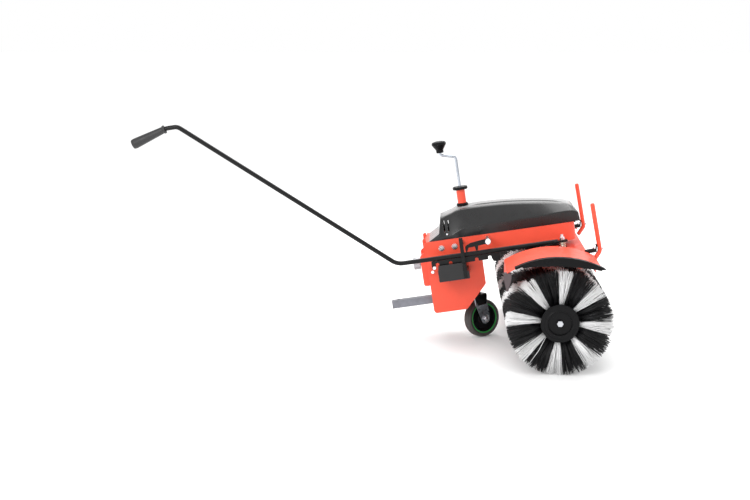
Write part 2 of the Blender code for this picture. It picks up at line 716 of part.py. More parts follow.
def height_disc(frame):
    """The disc of holes on top of the tube, with the spindle's bearing."""
    low = TUBE_TOP + SEAT
    inner = SPINDLE_RADIUS + RUN
    spigot = TUBE_RADIUS - TUBE_WALL - SEAT
    foot, top, rim = low - DISC_SPIGOT, low + DISC_THICKNESS, DISC_RADIUS
    profile = [(inner, foot), (spigot, foot), (spigot, low), (rim - 0.001, low), (rim, low + 0.001),
               (rim, top - 0.001), (rim - 0.001, top), (inner, top)]
    body = turned("height_disc", profile, 18, "Z", (POST_AT, 0, 0))
    ring = (rim + spigot) / 2
    for k in range(DISC_HOLES):
        angle = 2 * pi * (k + 0.5) / DISC_HOLES
        centre = (POST_AT + ring * cos(angle), ring * sin(angle), 0)
        cut(body, cylinder(f"disc_hole_{k}", DISC_HOLE_RADIUS, low - 0.005, low + 0.02, 6, "Z", centre))
    place(body, frame, "black_plastic")


def cover_form(name, inset):
    """The cover as a closed form through its foot, crease and top edge, drawn in by an inset."""
    made = bmesh.new()
    rows = []
    last = len(COVER_FOOT) - 1
    for i, (foot, crease, top) in enumerate(zip(COVER_FOOT, COVER_CREASE, COVER_TOP)):
        along = inset if i == 0 else -inset if i == last else 0
        right = [(foot[0] + along, -COVER_FOOT_HALF + inset, foot[1] - inset),
                 (crease[0] + along, -COVER_CREASE_HALF + inset, crease[1] - inset / 2),
                 (top[0] + along, -COVER_TOP_HALF + inset / 2, top[1] - inset)]
        right = [(x, y, BEAM_TOP + rise) for x, y, rise in right]
        left = [(x, -y, z) for x, y, z in right[::-1]]
        rows.append([made.verts.new(point) for point in right + left])
    for rear, front in zip(rows, rows[1:]):
        for k in range(6):
            made.faces.new((rear[k - 1], rear[k], front[k], front[k - 1]))
    for row in (rows[0], rows[-1]):
        made.faces.new((row[0], row[1], row[4], row[5]))
        made.faces.new((row[1], row[2], row[3], row[4]))
    form = solid(name, made)
    rounding = form.modifiers.new("rounding", "BEVEL")
    rounding.width = COVER_ROUNDING
    rounding.segments = 1
    rounding.limit_method = "ANGLE"
    rounding.angle_limit = radians(25)
    return form


def belt_cover(frame):
    """The moulded cover over the belt: a thin shell, open below, with vents and the tube's hole."""
    body = cover_form("belt_cover", 0)
    cut(body, cover_form("cover_hollow", COVER_WALL))
    floor, side = BEAM_TOP + RUN, COVER_CREASE_HALF + COVER_WALL
    rear, front = COVER_FOOT[0][0] - COVER_WALL, COVER_FOOT[-1][0] + COVER_WALL
    cut(body, block("foot_level", (rear, -side, floor - 4 * COVER_WALL), (front, side, floor)))
    roof = TUBE_TOP - TUBE_STAND
    low, high = roof - 4 * COVER_WALL, roof + 2 * COVER_WALL
    cut(body, cylinder("cover_tube_hole", TUBE_RADIUS + 2 * RUN, low, high, 24, "Z", (POST_AT, 0, 0)))
    for k, at in enumerate(VENTS_AT):
        low = (at - VENT_WIDTH / 2, -side, BEAM_TOP + VENT_LOW)
        cut(body, block(f"vent_{k}", low, (at + VENT_WIDTH / 2, side, BEAM_TOP + VENT_HIGH)))
    place(body, frame, "black_plastic", sharp=50)


def index_block(frame):
    """The guide box under the comb, open below, with a step at its front end."""
    near = -STRAP_INNER + SEAT
    far = -SIDE_OUTER - SEAT
    step, drop = BLOCK_STEP
    wall = BLOCK_WALL
    corners = [(BLOCK_REAR, BLOCK_BOTTOM), (BLOCK_FRONT, BLOCK_BOTTOM), (BLOCK_FRONT, BLOCK_TOP - drop),
               (BLOCK_FRONT - step, BLOCK_TOP - drop), (BLOCK_FRONT - step, BLOCK_TOP),
               (BLOCK_REAR, BLOCK_TOP)]
    body = prism("index_block", rounded(corners, (0.003, 0.003, 0.003, 0, 0.004, 0.004)), near, far)
    low = (BLOCK_REAR + wall, near + wall, BLOCK_BOTTOM - 0.01)
    cut(body, block("block_hollow", low, (BLOCK_FRONT - wall - step, far - wall, BLOCK_TOP - wall)))
    lip, foot = COMB_BOTTOM + BLOCK_LIP, BLOCK_TOP - wall / 2
    corners = [(BLOCK_REAR + wall, foot), (BLOCK_FRONT - step - wall, foot), (BLOCK_FRONT - step - wall, lip),
               (BLOCK_REAR + wall, lip)]
    join(body, prism("block_lip", rounded(corners, (0, 0, 0.005, 0.005)), near, near + wall))
    centre = (COMB_CENTRE, 0, PIN_HEIGHT)
    cut(body, cylinder("lip_pin_hole", PIN_RADIUS + SEAT, near - wall, near + 2 * wall, 12, "Y", centre))
    place(body, frame, "black_plastic")


def guide_strap(frame):
    """The upright strap outside the rod, with its arm back to the beam's wall."""
    outer = -STRAP_INNER - STRAP_THICKNESS
    wall = -BEAM_HALF_WIDTH - SEAT
    t = STRAP_THICKNESS
    low = BLOCK_TOP - STRAP_TAIL
    outline = [(outer, low), (-STRAP_INNER, low), (-STRAP_INNER, STRAP_ARM), (wall - t, STRAP_ARM),
               (wall - t, STRAP_ARM - 0.012), (wall, STRAP_ARM - 0.012), (wall, STRAP_ARM + t),
               (-STRAP_INNER, STRAP_ARM + t), (-STRAP_INNER, STRAP_TOP), (outer, STRAP_TOP)]
    body = prism("guide_strap", outline, COMB_CENTRE - STRAP_WIDTH / 2, COMB_CENTRE + STRAP_WIDTH / 2, "X")
    centre = (COMB_CENTRE, 0, PIN_HEIGHT)
    cut(body, cylinder("strap_pin_hole", PIN_RADIUS + SEAT, outer - t, -STRAP_INNER + t, 16, "Y", centre))
    place(body, frame, "black_paint")


def index_pin(frame):
    """The fixed pin that the comb's slots drop over."""
    outer = -STRAP_INNER - STRAP_THICKNESS - SEAT
    profile = [(0, outer - 0.005), (PIN_RADIUS + 0.003, outer - 0.005), (PIN_RADIUS + 0.003, outer),
               (PIN_RADIUS, outer), (PIN_RADIUS, -SIDE_INNER + 0.003), (0, -SIDE_INNER + 0.003)]
    place(turned("index_pin", profile, 16, "Y", (COMB_CENTRE, 0, PIN_HEIGHT)), frame, "zinc")


def pawl_stud(frame):
    """The shouldered bolt that the hold-down pawl turns on."""
    wall = -BEAM_HALF_WIDTH - SEAT
    shoulder = ROD_Y + PAWL_THICKNESS / 2 + RUN
    seat = ROD_Y - PAWL_THICKNESS / 2 - RUN
    inside = -BEAM_INNER + SEAT
    bore, head, nut = PAWL_BORE, PAWL_HEAD, PAWL_NUT
    profile = [(0, seat - 0.006), (head - 0.001, seat - 0.006), (head, seat - 0.004), (head, seat),
               (bore, seat), (bore, shoulder), (bore + 0.003, shoulder), (bore + 0.003, wall), (bore, wall),
               (bore, inside), (nut, inside), (nut, inside + 0.006), (0, inside + 0.006)]
    place(turned("pawl_stud", profile, 12, "Y", (PAWL_AT[0], 0, PAWL_AT[1])), frame, "zinc")


def input_housing(frame):
    """The box under the beam where the input shaft turns the upright pulley shaft through bevel gears."""
    top = BEAM_TOP - SHEET - SEAT
    half, side, wall = HOUSING_HALF_LENGTH, HOUSING_HALF_WIDTH, HOUSING_WALL
    rear, front = REAR_PULLEY_AT - half, REAR_PULLEY_AT + half
    corners = [(rear, -side), (front, -side), (front, side), (rear, side)]
    body = prism("input_housing", rounded(corners, [0.008] * 4), HOUSING_BOTTOM, top, "Z")
    low = (rear + wall, -side + wall, HOUSING_BOTTOM + wall)
    cut(body, block("housing_cavity", low, (front - wall, side - wall, top - wall)))
    centre = (REAR_PULLEY_AT, 0, 0)
    cut(body, cylinder("pulley_shaft_bore", WORM_SHAFT_RADIUS + RUN, top - 0.02, top + 0.01, 20, "Z", centre))
    centre = (0, 0, INPUT_HEIGHT)
    cut(body, cylinder("input_bore", INPUT_SHAFT_RADIUS + RUN, rear - 0.01, rear + 0.02, 20, "X", centre))
    place(body, frame, "cast_iron")


def drive_belt(frame):
    """A wedge belt round both pulleys, in their grooves."""
    lean = asin((FRONT_PULLEY_RADIUS - REAR_PULLEY_RADIUS) / (SWIVEL_U - REAR_PULLEY_AT))
    turns = [(SWIVEL_U, FRONT_PULLEY_RADIUS, -pi / 2 - lean, pi / 2 + lean),
             (REAR_PULLEY_AT, REAR_PULLEY_RADIUS, pi / 2 + lean, 3 * pi / 2 - lean)]
    made = bmesh.new()
    rings = []
    for centre, radius, start, end in turns:
        for k in range(15):
            angle = start + (end - start) * k / 14
            back, root, inner = BELT_WIDTH / 2, BELT_ROOT / 2, radius - BELT_DEPTH
            section = [(radius, -back), (radius, back), (inner, root), (inner, -root)]
            spots = [(centre + r * cos(angle), r * sin(angle), BELT_HEIGHT + up) for r, up in section]
            rings.append([made.verts.new(spot) for spot in spots])
    for i, ring in enumerate(rings):
        following = rings[(i + 1) % len(rings)]
        for k in range(4):
            made.faces.new((ring[k - 1], ring[k], following[k], following[k - 1]))
    place(solid("drive_belt", made), frame, "rubber")


def beam_bolt(frame, end, at):
    """A bolt through the beam's wall and the side plate."""
    head = -BEAM_HALF_WIDTH - SEAT
    nut = -SIDE_INNER + SEAT
    heights = (nut + 0.009, nut + 0.006, nut, head, head - BOLT_HEAD_HEIGHT)
    body = bolt("beam_bolt_" + end, BOLT_SHANK, BOLT_HEAD, heights, "Y", (at, 0, BEAM_BOLT_HEIGHT))
    place(body, frame, "zinc")


def gearbox_housing(frame):
    """The drum round the worm wheel, with the column, hub and neck that carry the whole head."""
    wheel_axis = (BRUSH_U, 0, BRUSH_W)
    half = GEARBOX_HALF_WIDTH
    body = cylinder("gearbox_housing", GEARBOX_RADIUS, -half, half, 24, "Y", wheel_axis)
    foot = BRUSH_W - WORM_LENGTH / 2 - WORM_STUB - RUN
    under, over = CROSS_BOTTOM - SEAT, CROSS_TOP + SEAT
    seat = PLATE_BOTTOM - SEAT
    top = RING_TOP + NECK_ABOVE_RING
    profile = [(0, foot - 0.006), (COLUMN_RADIUS - 0.003, foot - 0.006), (COLUMN_RADIUS, foot - 0.003),
               (COLUMN_RADIUS, under), (SPIGOT_RADIUS, under), (SPIGOT_RADIUS, over), (NECK_HUB_RADIUS, over),
               (NECK_HUB_RADIUS, seat - NECK_FLANGE), (NECK_FLANGE_RADIUS, seat - NECK_FLANGE),
               (NECK_FLANGE_RADIUS, seat), (NECK_RADIUS, seat), (NECK_RADIUS, top), (0, top)]
    wide = half + 0.01
    cut(body, cylinder("shaft_bore", SHAFT_RADIUS + RUN, -wide, wide, 16, "Y", wheel_axis, pi / 32))
    join(body, turned("column", profile, 20, "Z", (SWIVEL_U, 0, 0)))
    depth = half - GEARBOX_WALL
    hollow = GEARBOX_RADIUS - 2 * GEARBOX_WALL
    cut(body, cylinder("wheel_chamber", hollow, -depth, depth, 16, "Y", wheel_axis))
    bore, room = WORM_SHAFT_RADIUS + RUN, WORM_RADIUS + 3 * RUN
    low, high = BRUSH_W - WORM_LENGTH / 2 - RUN, BRUSH_W + WORM_LENGTH / 2 + RUN
    end = top + 0.01
    profile = [(0, foot), (bore, foot), (bore, low), (room, low), (room, high), (bore, high), (bore, end),
               (0, end)]
    cut(body, turned("worm_chamber", profile, 12, "Z", (SWIVEL_U, 0, 0), pi / 24))
    place(body, frame, "cast_iron")


def swivel_ring(frame):
    """The ring above the swivel plate that keeps the neck in it."""
    low = PLATE_TOP + RUN
    inner = NECK_RADIUS + SEAT
    outer, high = SWIVEL_RING_RADIUS, low + SWIVEL_RING
    profile = [(inner, low), (outer, low), (outer, high), (inner, high)]
    place(turned("swivel_ring", profile, 20, "Z", (SWIVEL_U, 0, 0)), frame, "zinc")


def head_crossbar(frame):
    """The folded sheet across the head: a forked tongue, a wide flange and a lip turned down in front."""
    half, tongue = CROSS_HALF_LENGTH, TONGUE_HALF_WIDTH
    corners = [(TONGUE_REAR, -tongue), (CROSS_REAR, -tongue), (CROSS_REAR, -half), (CROSS_FRONT, -half),
               (CROSS_FRONT, half), (CROSS_REAR, half), (CROSS_REAR, tongue), (TONGUE_REAR, tongue)]
    outline = rounded(corners, (0.004, 0, 0.006, 0, 0, 0.006, 0, 0.004))
    body = prism("head_crossbar", outline, CROSS_BOTTOM, CROSS_TOP, "Z")
    low = (CROSS_FRONT - SHEET, -half, CROSS_TOP - CROSS_LIP)
    join(body, block("front_lip", low, (CROSS_FRONT, half, CROSS_TOP - 0.001)))
    grip = SPIGOT_RADIUS + SEAT
    slot = [(TONGUE_REAR - 0.01, -grip), (SWIVEL_U, -grip)] + arc((SWIVEL_U, 0), grip, -90, 90, 16)[1:-1]
    slot += [(SWIVEL_U, grip), (TONGUE_REAR - 0.01, grip)]
    cut(body, prism("fork_slot", slot, CROSS_BOTTOM - 0.01, CROSS_TOP + 0.01, "Z"))
    place(body, frame, "red_paint")


def rod_bracket(frame):
    """The stepped bracket on the crossbar that the control rod's stud stands in."""
    foot = CROSS_TOP + SEAT
    raised = foot + BRACKET_RISE
    points = [(BRACKET_REAR, raised), (BRACKET_STEP[0], raised), (BRACKET_STEP[1], foot),
              (BRACKET_FRONT, foot)]
    body = prism("rod_bracket", strip(points, SHEET), ROD_Y - BRACKET_HALF_WIDTH, ROD_Y + BRACKET_HALF_WIDTH)
    centre = (STUD_AT, ROD_Y, 0)
    cut(body, cylinder("bracket_hole", STUD_RADIUS + RUN, foot, BRACKET_TOP + 0.01, 16, "Z", centre))
    place(body, frame, "red_paint")


def roof_arc(out, first=0, ahead=0.0):
    """Points along the hood's roof from rear to front, so far outside its inner face."""
    rear, front = [degrees(acos((x - HOOD_CENTRE[0]) / HOOD_RADIUS)) for x in (HOOD_REAR, HOOD_FRONT)]
    points = arc(HOOD_CENTRE, HOOD_RADIUS + out, rear, front, HOOD_STEPS)[first:]
    if ahead:
        points += arc(HOOD_CENTRE, HOOD_RADIUS + out, front - degrees(ahead / HOOD_RADIUS), front, 1)[:1]
    return points


def hood(head, side, name):
    """A sheet hood: an arched roof and an upright rear wall."""
    points = [(HOOD_REAR, HOOD_BOTTOM)] + roof_arc(0)
    low, high = sorted((side * HOOD_INNER, side * HOOD_OUTER))
    place(prism("hood_" + name, strip(points, HOOD_SHEET), low, high), head, "red_paint", sharp=25)


def hood_trim(head, side, name):
    """The edge trim pushed over the roof's outer end, with a crescent end plate that is pointed in front."""
    under = roof_arc(-TRIM_LAP, 1, 0.004)
    over = roof_arc(HOOD_SHEET + TRIM_LAP, 1, 0.004)
    tip = (over[-1][0] + TRIM_NOSE, under[-1][1] + 0.001)
    low, high = sorted((side * (HOOD_OUTER - TRIM_DEPTH), side * (HOOD_OUTER + TRIM_END)))
    body = prism("hood_trim_" + name, under + [tip] + over[::-1], low, high)
    slot = roof_arc(-SEAT, 0, 2 * SEAT) + roof_arc(HOOD_SHEET + SEAT, 0, 2 * SEAT)[::-1]
    low, high = sorted((side * (HOOD_OUTER - TRIM_DEPTH - 0.01), side * (HOOD_OUTER + SEAT)))
    cut(body, prism("trim_slot_" + name, slot, low, high))
    last = len(under) - 1
    middle = [((a[0] + b[0]) / 2, (a[1] + b[1]) / 2) for a, b in zip(under, over)]
    hanging = [(x, z - TRIM_LAP - TRIM_SAG * sin(pi * k / last)) for k, (x, z) in enumerate(middle)]
    low, high = sorted((side * (HOOD_OUTER + 2 * SEAT), side * (HOOD_OUTER + TRIM_END)))
    join(body, prism("trim_plate_" + name, hanging[1:-1] + middle[1:-1][::-1], low, high))
    place(body, head, "black_plastic", sharp=25)


def rear_flap(head, side, name):
    """The pointed rubber cap over the outer edge of the hood's rear wall."""
    middle = HOOD_REAR - HOOD_SHEET / 2
    low = HOOD_BOTTOM - FLAP_POINT
    half = FLAP_HALF_WIDTH
    outline = [(middle - half, FLAP_TOP), (middle - half, FLAP_SHOULDER), (middle - 0.003, low),
               (middle + 0.003, low), (middle + half, FLAP_SHOULDER), (middle + half, FLAP_TOP)]
    near, far = sorted((side * (HOOD_OUTER - TRIM_DEPTH), side * (HOOD_OUTER + TRIM_END)))
    body = prism("rear_flap_" + name, outline, near, far)
    near, far = sorted((side * (HOOD_OUTER - TRIM_DEPTH - 0.01), side * (HOOD_OUTER + SEAT)))
    low = (HOOD_REAR - HOOD_SHEET - SEAT, near, HOOD_BOTTOM - SEAT)
    cut(body, block("flap_slot_" + name, low, (HOOD_REAR + SEAT, far, FLAP_TOP + 0.01)))
    place(body, head, "rubber")


def stay(head, side, name):
    """A round upright in front of the crossbar, bent in at its foot."""
    y = side * STAY_SIDE
    points = [(STAY_TOP[0], y, STAY_TOP[1]), (STAY_KNEE[0], y, STAY_KNEE[1]), (STAY_FOOT[0], y, STAY_FOOT[1])]
    body = bar("stay_" + name, bent_path(points, (STAY_BEND,)), STAY_RADIUS, 10)
    x, height = STAY_PIN
    cut(body, cylinder("stay_hole_" + name, BOLT_SHANK + SEAT, x - 0.02, x + 0.02, 12, "X", (0, y, height)))
    place(body, head, "red_paint")


def stay_bolt(head, side, name):
    """The bolt through the stay and the brace's tab."""
    nut = BRACE_TAB - SEAT
    lean = (STAY_KNEE[0] - STAY_TOP[0]) / (STAY_TOP[1] - STAY_KNEE[1])
    seat = STAY_PIN[0] + hypot(1, lean) * STAY_RADIUS + lean * BOLT_HEAD + SEAT
    heights = (nut - 0.008, nut - 0.006, nut, seat, seat + BOLT_HEAD_HEIGHT)
    body = bolt("stay_bolt_" + name, BOLT_SHANK, BOLT_HEAD, heights, "X", (0, side * STAY_SIDE, STAY_PIN[1]))
    place(body, head, "zinc")


def brace(head, side, name):
    """The channel from the crossbar up to the stay, with an upright tab for the bolt."""
    y = side * STAY_SIDE
    edge = beam_to_level(CROSS_FRONT - 0.014, CROSS_TOP + SEAT)
    rear = (BRACE_FOOT, edge[1] - (edge[0] - BRACE_FOOT) * tan(FRAME_TILT))
    tab = BRACE_TAB + BRACE_SHEET
    turn = (tab, edge[1] + BRACE_RISE)
    points = [rear, edge, turn, (tab, BRACE_TOP)]
    half = BRACE_HALF_WIDTH
    body = prism("brace_" + name, strip(points, BRACE_SHEET), y - half, y + half)
    wall = [edge, turn, (turn[0], turn[1] + BRACE_SIDE_HEIGHT),
            (edge[0] + 0.004, edge[1] + BRACE_SIDE_HEIGHT)]
    for k, low in enumerate((y - half, y + half - BRACE_SHEET)):
        join(body, prism(f"brace_wall_{name}_{k}", wall, low, low + BRACE_SHEET))
    rear, front = BRACE_TAB - 0.01, BRACE_TAB + 0.01
    cut(body, cylinder("brace_hole_" + name, BOLT_SHANK + SEAT, rear, front, 12, "X", (0, y, STAY_PIN[1])))
    place(body, head, "black_paint")


def brush_shaft(axis):
    """The shaft through both halves, with the worm wheel at its middle and a bore in each end."""
    end = CORE_END
    wheel, face = WORM_WHEEL_RADIUS, WHEEL_FACE / 2
    profile = [(0, -end), (SHAFT_RADIUS, -end), (SHAFT_RADIUS, -face), (wheel, -face), (wheel, face),
               (SHAFT_RADIUS, face), (SHAFT_RADIUS, end), (0, end)]
    body = turned("brush_shaft", profile, 20, "Y", start=pi / 40)
    for side in (-1, 1):
        low, high = sorted((side * (end - 0.030), side * (end + 0.01)))
        cut(body, cylinder(f"end_bore_{side}", END_BOLT_SHANK + SEAT, low, high, 12, "Y"))
    place(body, axis, "steel")


def bristle_half(axis, side, name):
    """Half of the brush: rows of tufts round a sleeve, twisted along it, the lowest tips flat on the floor."""
    columns, rows = 2 * TUFTS_ROUND, 2 * TUFT_ROWS + 1
    pitch = BRUSH_HALF_LENGTH / TUFT_ROWS
    inner_end = BRUSH_GAP / 2
    root_gap = pitch * (1 - TUFT_ROOT)
    edges = [0.0]
    for row in range(TUFT_ROWS):
        edges += [row * pitch + root_gap / 2, (row + 1) * pitch - root_gap / 2]
    edges.append(BRUSH_HALF_LENGTH)

    def spot(radius, share, along):
        y = side * (inner_end + along)
        angle = TUFT_PHASE + share * 2 * pi / TUFTS_ROUND + TUFT_TWIST * (y + CORE_END) / BRUSH_HALF_LENGTH
        return Vector((radius * cos(angle), y, max(radius * sin(angle), -AXLE_HEIGHT)))

    made = bmesh.new()
    shares = [(k - 0.5) / 2 for k in range(columns)]
    grid = [[made.verts.new(spot(CORE_RADIUS, share, along)) for share in shares] for along in edges]
    bore = []
    for along in (edges[0], edges[-1]):
        turned_by = TUFT_PHASE + TUFT_TWIST * (side * (inner_end + along) + CORE_END) / BRUSH_HALF_LENGTH
        first = round(turned_by / (2 * pi) * columns - 0.5)
        angles = [2 * pi * (k + first) / columns for k in range(columns)]
        radius, y = SHAFT_RADIUS + SEAT, side * (inner_end + along)
        bore.append([made.verts.new((radius * cos(a), y, radius * sin(a))) for a in angles])
    white = []
    for i in range(rows):
        for k in range(columns):
            corners = [grid[i][k], grid[i][(k + 1) % columns], grid[i + 1][(k + 1) % columns], grid[i + 1][k]]
            if i % 2 == 0 or k % 2 == 1:
                made.faces.new(corners)
                continue
            low = (i // 2 + (1 - TUFT_TIP) / 2) * pitch
            high = (i // 2 + (1 + TUFT_TIP) / 2) * pitch
            first, last = k / 2 - TUFT_SPREAD / 2, k / 2 + TUFT_SPREAD / 2
            ends = [(first, low), (last, low), (last, high), (first, high)]
            tips = [made.verts.new(spot(BRUSH_RADIUS, share, along)) for share, along in ends]
            faces = [made.faces.new((corners[n - 1], corners[n], tips[n], tips[n - 1])) for n in range(4)]
            faces.append(made.faces.new(tips))
            if (k // 2) % WHITE_EVERY == 0:
                white += faces
    near, far = bore[0][0].co, bore[1][0].co
    shift = round((atan2(far.z, far.x) - atan2(near.z, near.x)) / (2 * pi) * columns)
    for k in range(columns):
        following = (k + 1) % columns
        across = (k - shift) % columns
        made.faces.new((bore[0][k], bore[0][following], bore[1][(across + 1) % columns], bore[1][across]))
        made.faces.new((grid[0][k], grid[0][following], bore[0][following], bore[0][k]))
        made.faces.new((grid[-1][k], grid[-1][following], bore[1][following], bore[1][k]))
    for face in white:
        face.material_index = 1
    body = place(solid("bristles_" + name, made), axis, "black_bristle", sharp=20)
    body.data.materials.append(finish("white_bristle"))


def hub_disc(axis, side, name):
    """The recessed end disc that clamps a half against the gearbox."""
    inner = CORE_END + SEAT
    outer = inner + HUB_THICKNESS
    bore = END_BOLT_SHANK + SEAT
    rim, dish, floor = HUB_RADIUS, HUB_RECESS_RADIUS, outer - HUB_RECESS
    profile = [(bore, inner), (rim, inner), (rim, outer - 0.002), (rim - 0.002, outer), (dish, outer),
               (dish - 0.002, floor), (bore, floor)]
    profile = [(radius, side * along) for radius, along in profile]
    place(turned("hub_disc_" + name, profile, 24, "Y"), axis, "black_plastic")


def end_bolt(axis, side, name):
    """The bolt in the shaft's end, with its head in the disc's recess."""
    seat = CORE_END + HUB_THICKNESS - HUB_RECESS + 2 * SEAT
    heights = [side * along for along in (CORE_END - 0.025, 0, 0, seat, seat + 0.008)]
    place(bolt("end_bolt_" + name, END_BOLT_SHANK, END_BOLT_RADIUS, heights, "Y", nut=False), axis, "zinc")


def worm_shaft(frame):
    """The upright shaft in the head, with the worm at its foot. It turns on the head's own swivel axis."""
    low = -WORM_LENGTH / 2 - WORM_STUB
    top = BELT_HEIGHT + PULLEY_WIDTH / 2 + 0.004 - BRUSH_W
    shaft, worm, half = WORM_SHAFT_RADIUS, WORM_RADIUS, WORM_LENGTH / 2
    profile = [(0, low), (shaft, low), (shaft, -half), (worm, -half), (worm, half), (shaft, half),
               (shaft, top), (0, top)]
    place(turned("worm_shaft", profile, 12), frame, "steel", at=(0, 0, BRUSH_W))


def groove(radius):
    """The rim of a pulley with its groove, from its lower to its upper face, (radius, height)."""
    half = PULLEY_WIDTH / 2
    root = radius - BELT_DEPTH - 3 * RUN
    wide, narrow = BELT_WIDTH / 2 + 2 * RUN, BELT_ROOT / 2 + RUN
    return [(radius, BELT_HEIGHT - half), (radius, BELT_HEIGHT - wide), (root, BELT_HEIGHT - narrow),
            (root, BELT_HEIGHT + narrow), (radius, BELT_HEIGHT + wide), (radius, BELT_HEIGHT + half)]


def front_pulley(frame):
    """The large pulley on the worm shaft."""
    low, high = BELT_HEIGHT - PULLEY_WIDTH / 2, BELT_HEIGHT + PULLEY_WIDTH / 2
    bore = WORM_SHAFT_RADIUS + SEAT
    profile = [(bore, low)] + groove(FRONT_PULLEY_RADIUS) + [(bore, high)]
    place(turned("front_pulley", profile, 20), frame, "cast_iron")


def rear_pulley(axis):
    """The small pulley, its upright shaft and the bevel gear at the shaft's foot, in one."""
    gear = INPUT_HEIGHT + BEVEL_RADIUS
    r, low = WORM_SHAFT_RADIUS, BELT_HEIGHT - PULLEY_WIDTH / 2
    small = BEVEL_RADIUS - BEVEL_FACE
    profile = [(0, gear - BEVEL_FACE + RUN), (small, gear - BEVEL_FACE + RUN), (BEVEL_RADIUS, gear + RUN),
               (BEVEL_RADIUS, gear + 0.003), (r, gear + 0.003), (r, low)] + groove(REAR_PULLEY_RADIUS)
    profile.append((0, BELT_HEIGHT + PULLEY_WIDTH / 2))
    place(turned("rear_pulley", profile, 14), axis, "cast_iron")


def input_shaft(axis):
    """The shaft that the machine behind drives: a slotted dog at its rear end, a bevel gear at its front."""
    gear = REAR_PULLEY_AT - BEVEL_RADIUS
    small = BEVEL_RADIUS - BEVEL_FACE
    dog = INPUT_REAR + DOG_LENGTH
    r = INPUT_SHAFT_RADIUS
    wide, rear, front = DOG_RADIUS, INPUT_REAR, gear + BEVEL_FACE - RUN
    profile = [(0, rear), (wide - 0.002, rear), (wide, rear + 0.002), (wide, dog), (r, dog),
               (r, gear - 0.003), (BEVEL_RADIUS, gear - 0.003), (BEVEL_RADIUS, gear - RUN),
               (small, front), (0, front)]
    body = turned("input_shaft", profile, 16, "X")
    half, reach = DOG_SLOT / 2, wide + 0.01
    cut(body, block("dog_slot", (rear - 0.01, -half, -reach), (rear + 0.010, half, reach)))
    place(body, axis, "steel")


def rod_stud(axis):
    """The bolt the control rod rocks on, with its nut on top. It turns in the bracket."""
    foot = CROSS_TOP + SEAT + BRACKET_RISE - RUN - ROD_HEIGHT
    nut = TAB_TOP + SWING - ROD_HEIGHT
    heights = (nut + STUD_NUT + STUD_TIP, nut + STUD_NUT, nut, foot, foot - STUD_HEAD)
    place(bolt("rod_stud", STUD_RADIUS, STUD_HEAD_RADIUS, heights), axis, "zinc")


def stud_spring(axis):
    """The spring on the stud, between the bracket and the rod's eye: one unbroken wire."""
    low = BRACKET_TOP + SEAT + SPRING_WIRE - ROD_HEIGHT
    high = TAB_BOTTOM - SWING - SPRING_WIRE - ROD_HEIGHT
    steps = CURL_POINTS * SPRING_CURLS
    path = []
    for k in range(steps + 1):
        angle = 2 * pi * k / CURL_POINTS
        height = low + (high - low) * k / steps
        path.append(Vector((SPRING_RADIUS * cos(angle), SPRING_RADIUS * sin(angle), height)))
    gap = (high - low) / SPRING_CURLS - 2 * SPRING_WIRE
    print(f"least gap between the spring's curls: {gap * 1000:.2f} mm")
    place(bar("stud_spring", path, SPRING_WIRE, 5), axis, "zinc")


def control_rod(lift):
    """The long rod from the head to the handle, flattened to an eye at its front end."""
    back = (-STUD_AT, -ROD_Y, -ROD_HEIGHT)
    way = (Vector(GRIP_END) - Vector(GRIP_START)).normalized()
    end = Vector(GRIP_START) + way * (GRIP_SLIP + GRIP_BORE)
    start, low_bend = (STUD_AT - ROD_STOP, ROD_HEIGHT), (ROD_LOW_BEND, ROD_HEIGHT)
    corners = [start, low_bend, ROD_TOP_BEND, GRIP_START, tuple(end)]
    path = bent_path([(u, ROD_Y, w) for u, w in corners], (0.060, 0.030, 0.030))
    body = bar("control_rod", path, ROD_RADIUS, 12)
    half = TAB_HALF_WIDTH
    rear, front = STUD_AT - TAB_REAR, STUD_AT + TAB_FRONT
    corners = [(rear, ROD_Y - half), (front, ROD_Y - half), (front, ROD_Y + half), (rear, ROD_Y + half)]
    join(body, prism("rod_tab", rounded(corners, (0.009, 0.010, 0.010, 0.009), 4), TAB_BOTTOM, TAB_TOP, "Z"))
    centre = (STUD_AT, ROD_Y, 0)
    cut(body, cylinder("tab_hole", TAB_HOLE, TAB_BOTTOM - 0.01, TAB_TOP + 0.01, 16, "Z", centre))
    place(body, lift, "black_paint", at=back)


def index_comb(lift):
    """The slotted plate under the rod. One slot drops over the pin and holds the brush at its angle."""
    top = ROD_HEIGHT - ROD_RADIUS - SEAT
    corners = [(COMB_FRONT, top), (COMB_REAR, top), (COMB_REAR, COMB_LOBE_BOTTOM),
               (COMB_REAR + 0.006, COMB_LOBE_BOTTOM), (COMB_REAR + 0.008, COMB_BOTTOM)]
    radii = [0, 0.004, 0.003, 0.002, 0]
    for k in range(COMB_SLOTS):
        middle = COMB_CENTRE + (k - (COMB_SLOTS - 1) / 2) * COMB_PITCH
        left, right = middle - COMB_SLOT_WIDTH / 2, middle + COMB_SLOT_WIDTH / 2
        corners += [(left, COMB_BOTTOM), (left, COMB_SLOT_TOP)]
        corners += [(right, COMB_SLOT_TOP), (right, COMB_BOTTOM)]
        radii += [0.002, 0.0045, 0.0045, 0.002]
    lobe = COMB_FRONT - COMB_LOBE
    corners += [(lobe, COMB_BOTTOM), (lobe + 0.003, COMB_LOBE_BOTTOM), (COMB_FRONT, COMB_LOBE_BOTTOM)]
    radii += [0, 0.002, 0.004]
    half = COMB_THICKNESS / 2
    body = prism("index_comb", rounded(corners, radii), ROD_Y - half, ROD_Y + half)
    place(body, lift, "black_paint", at=(-STUD_AT, -ROD_Y, -ROD_HEIGHT))


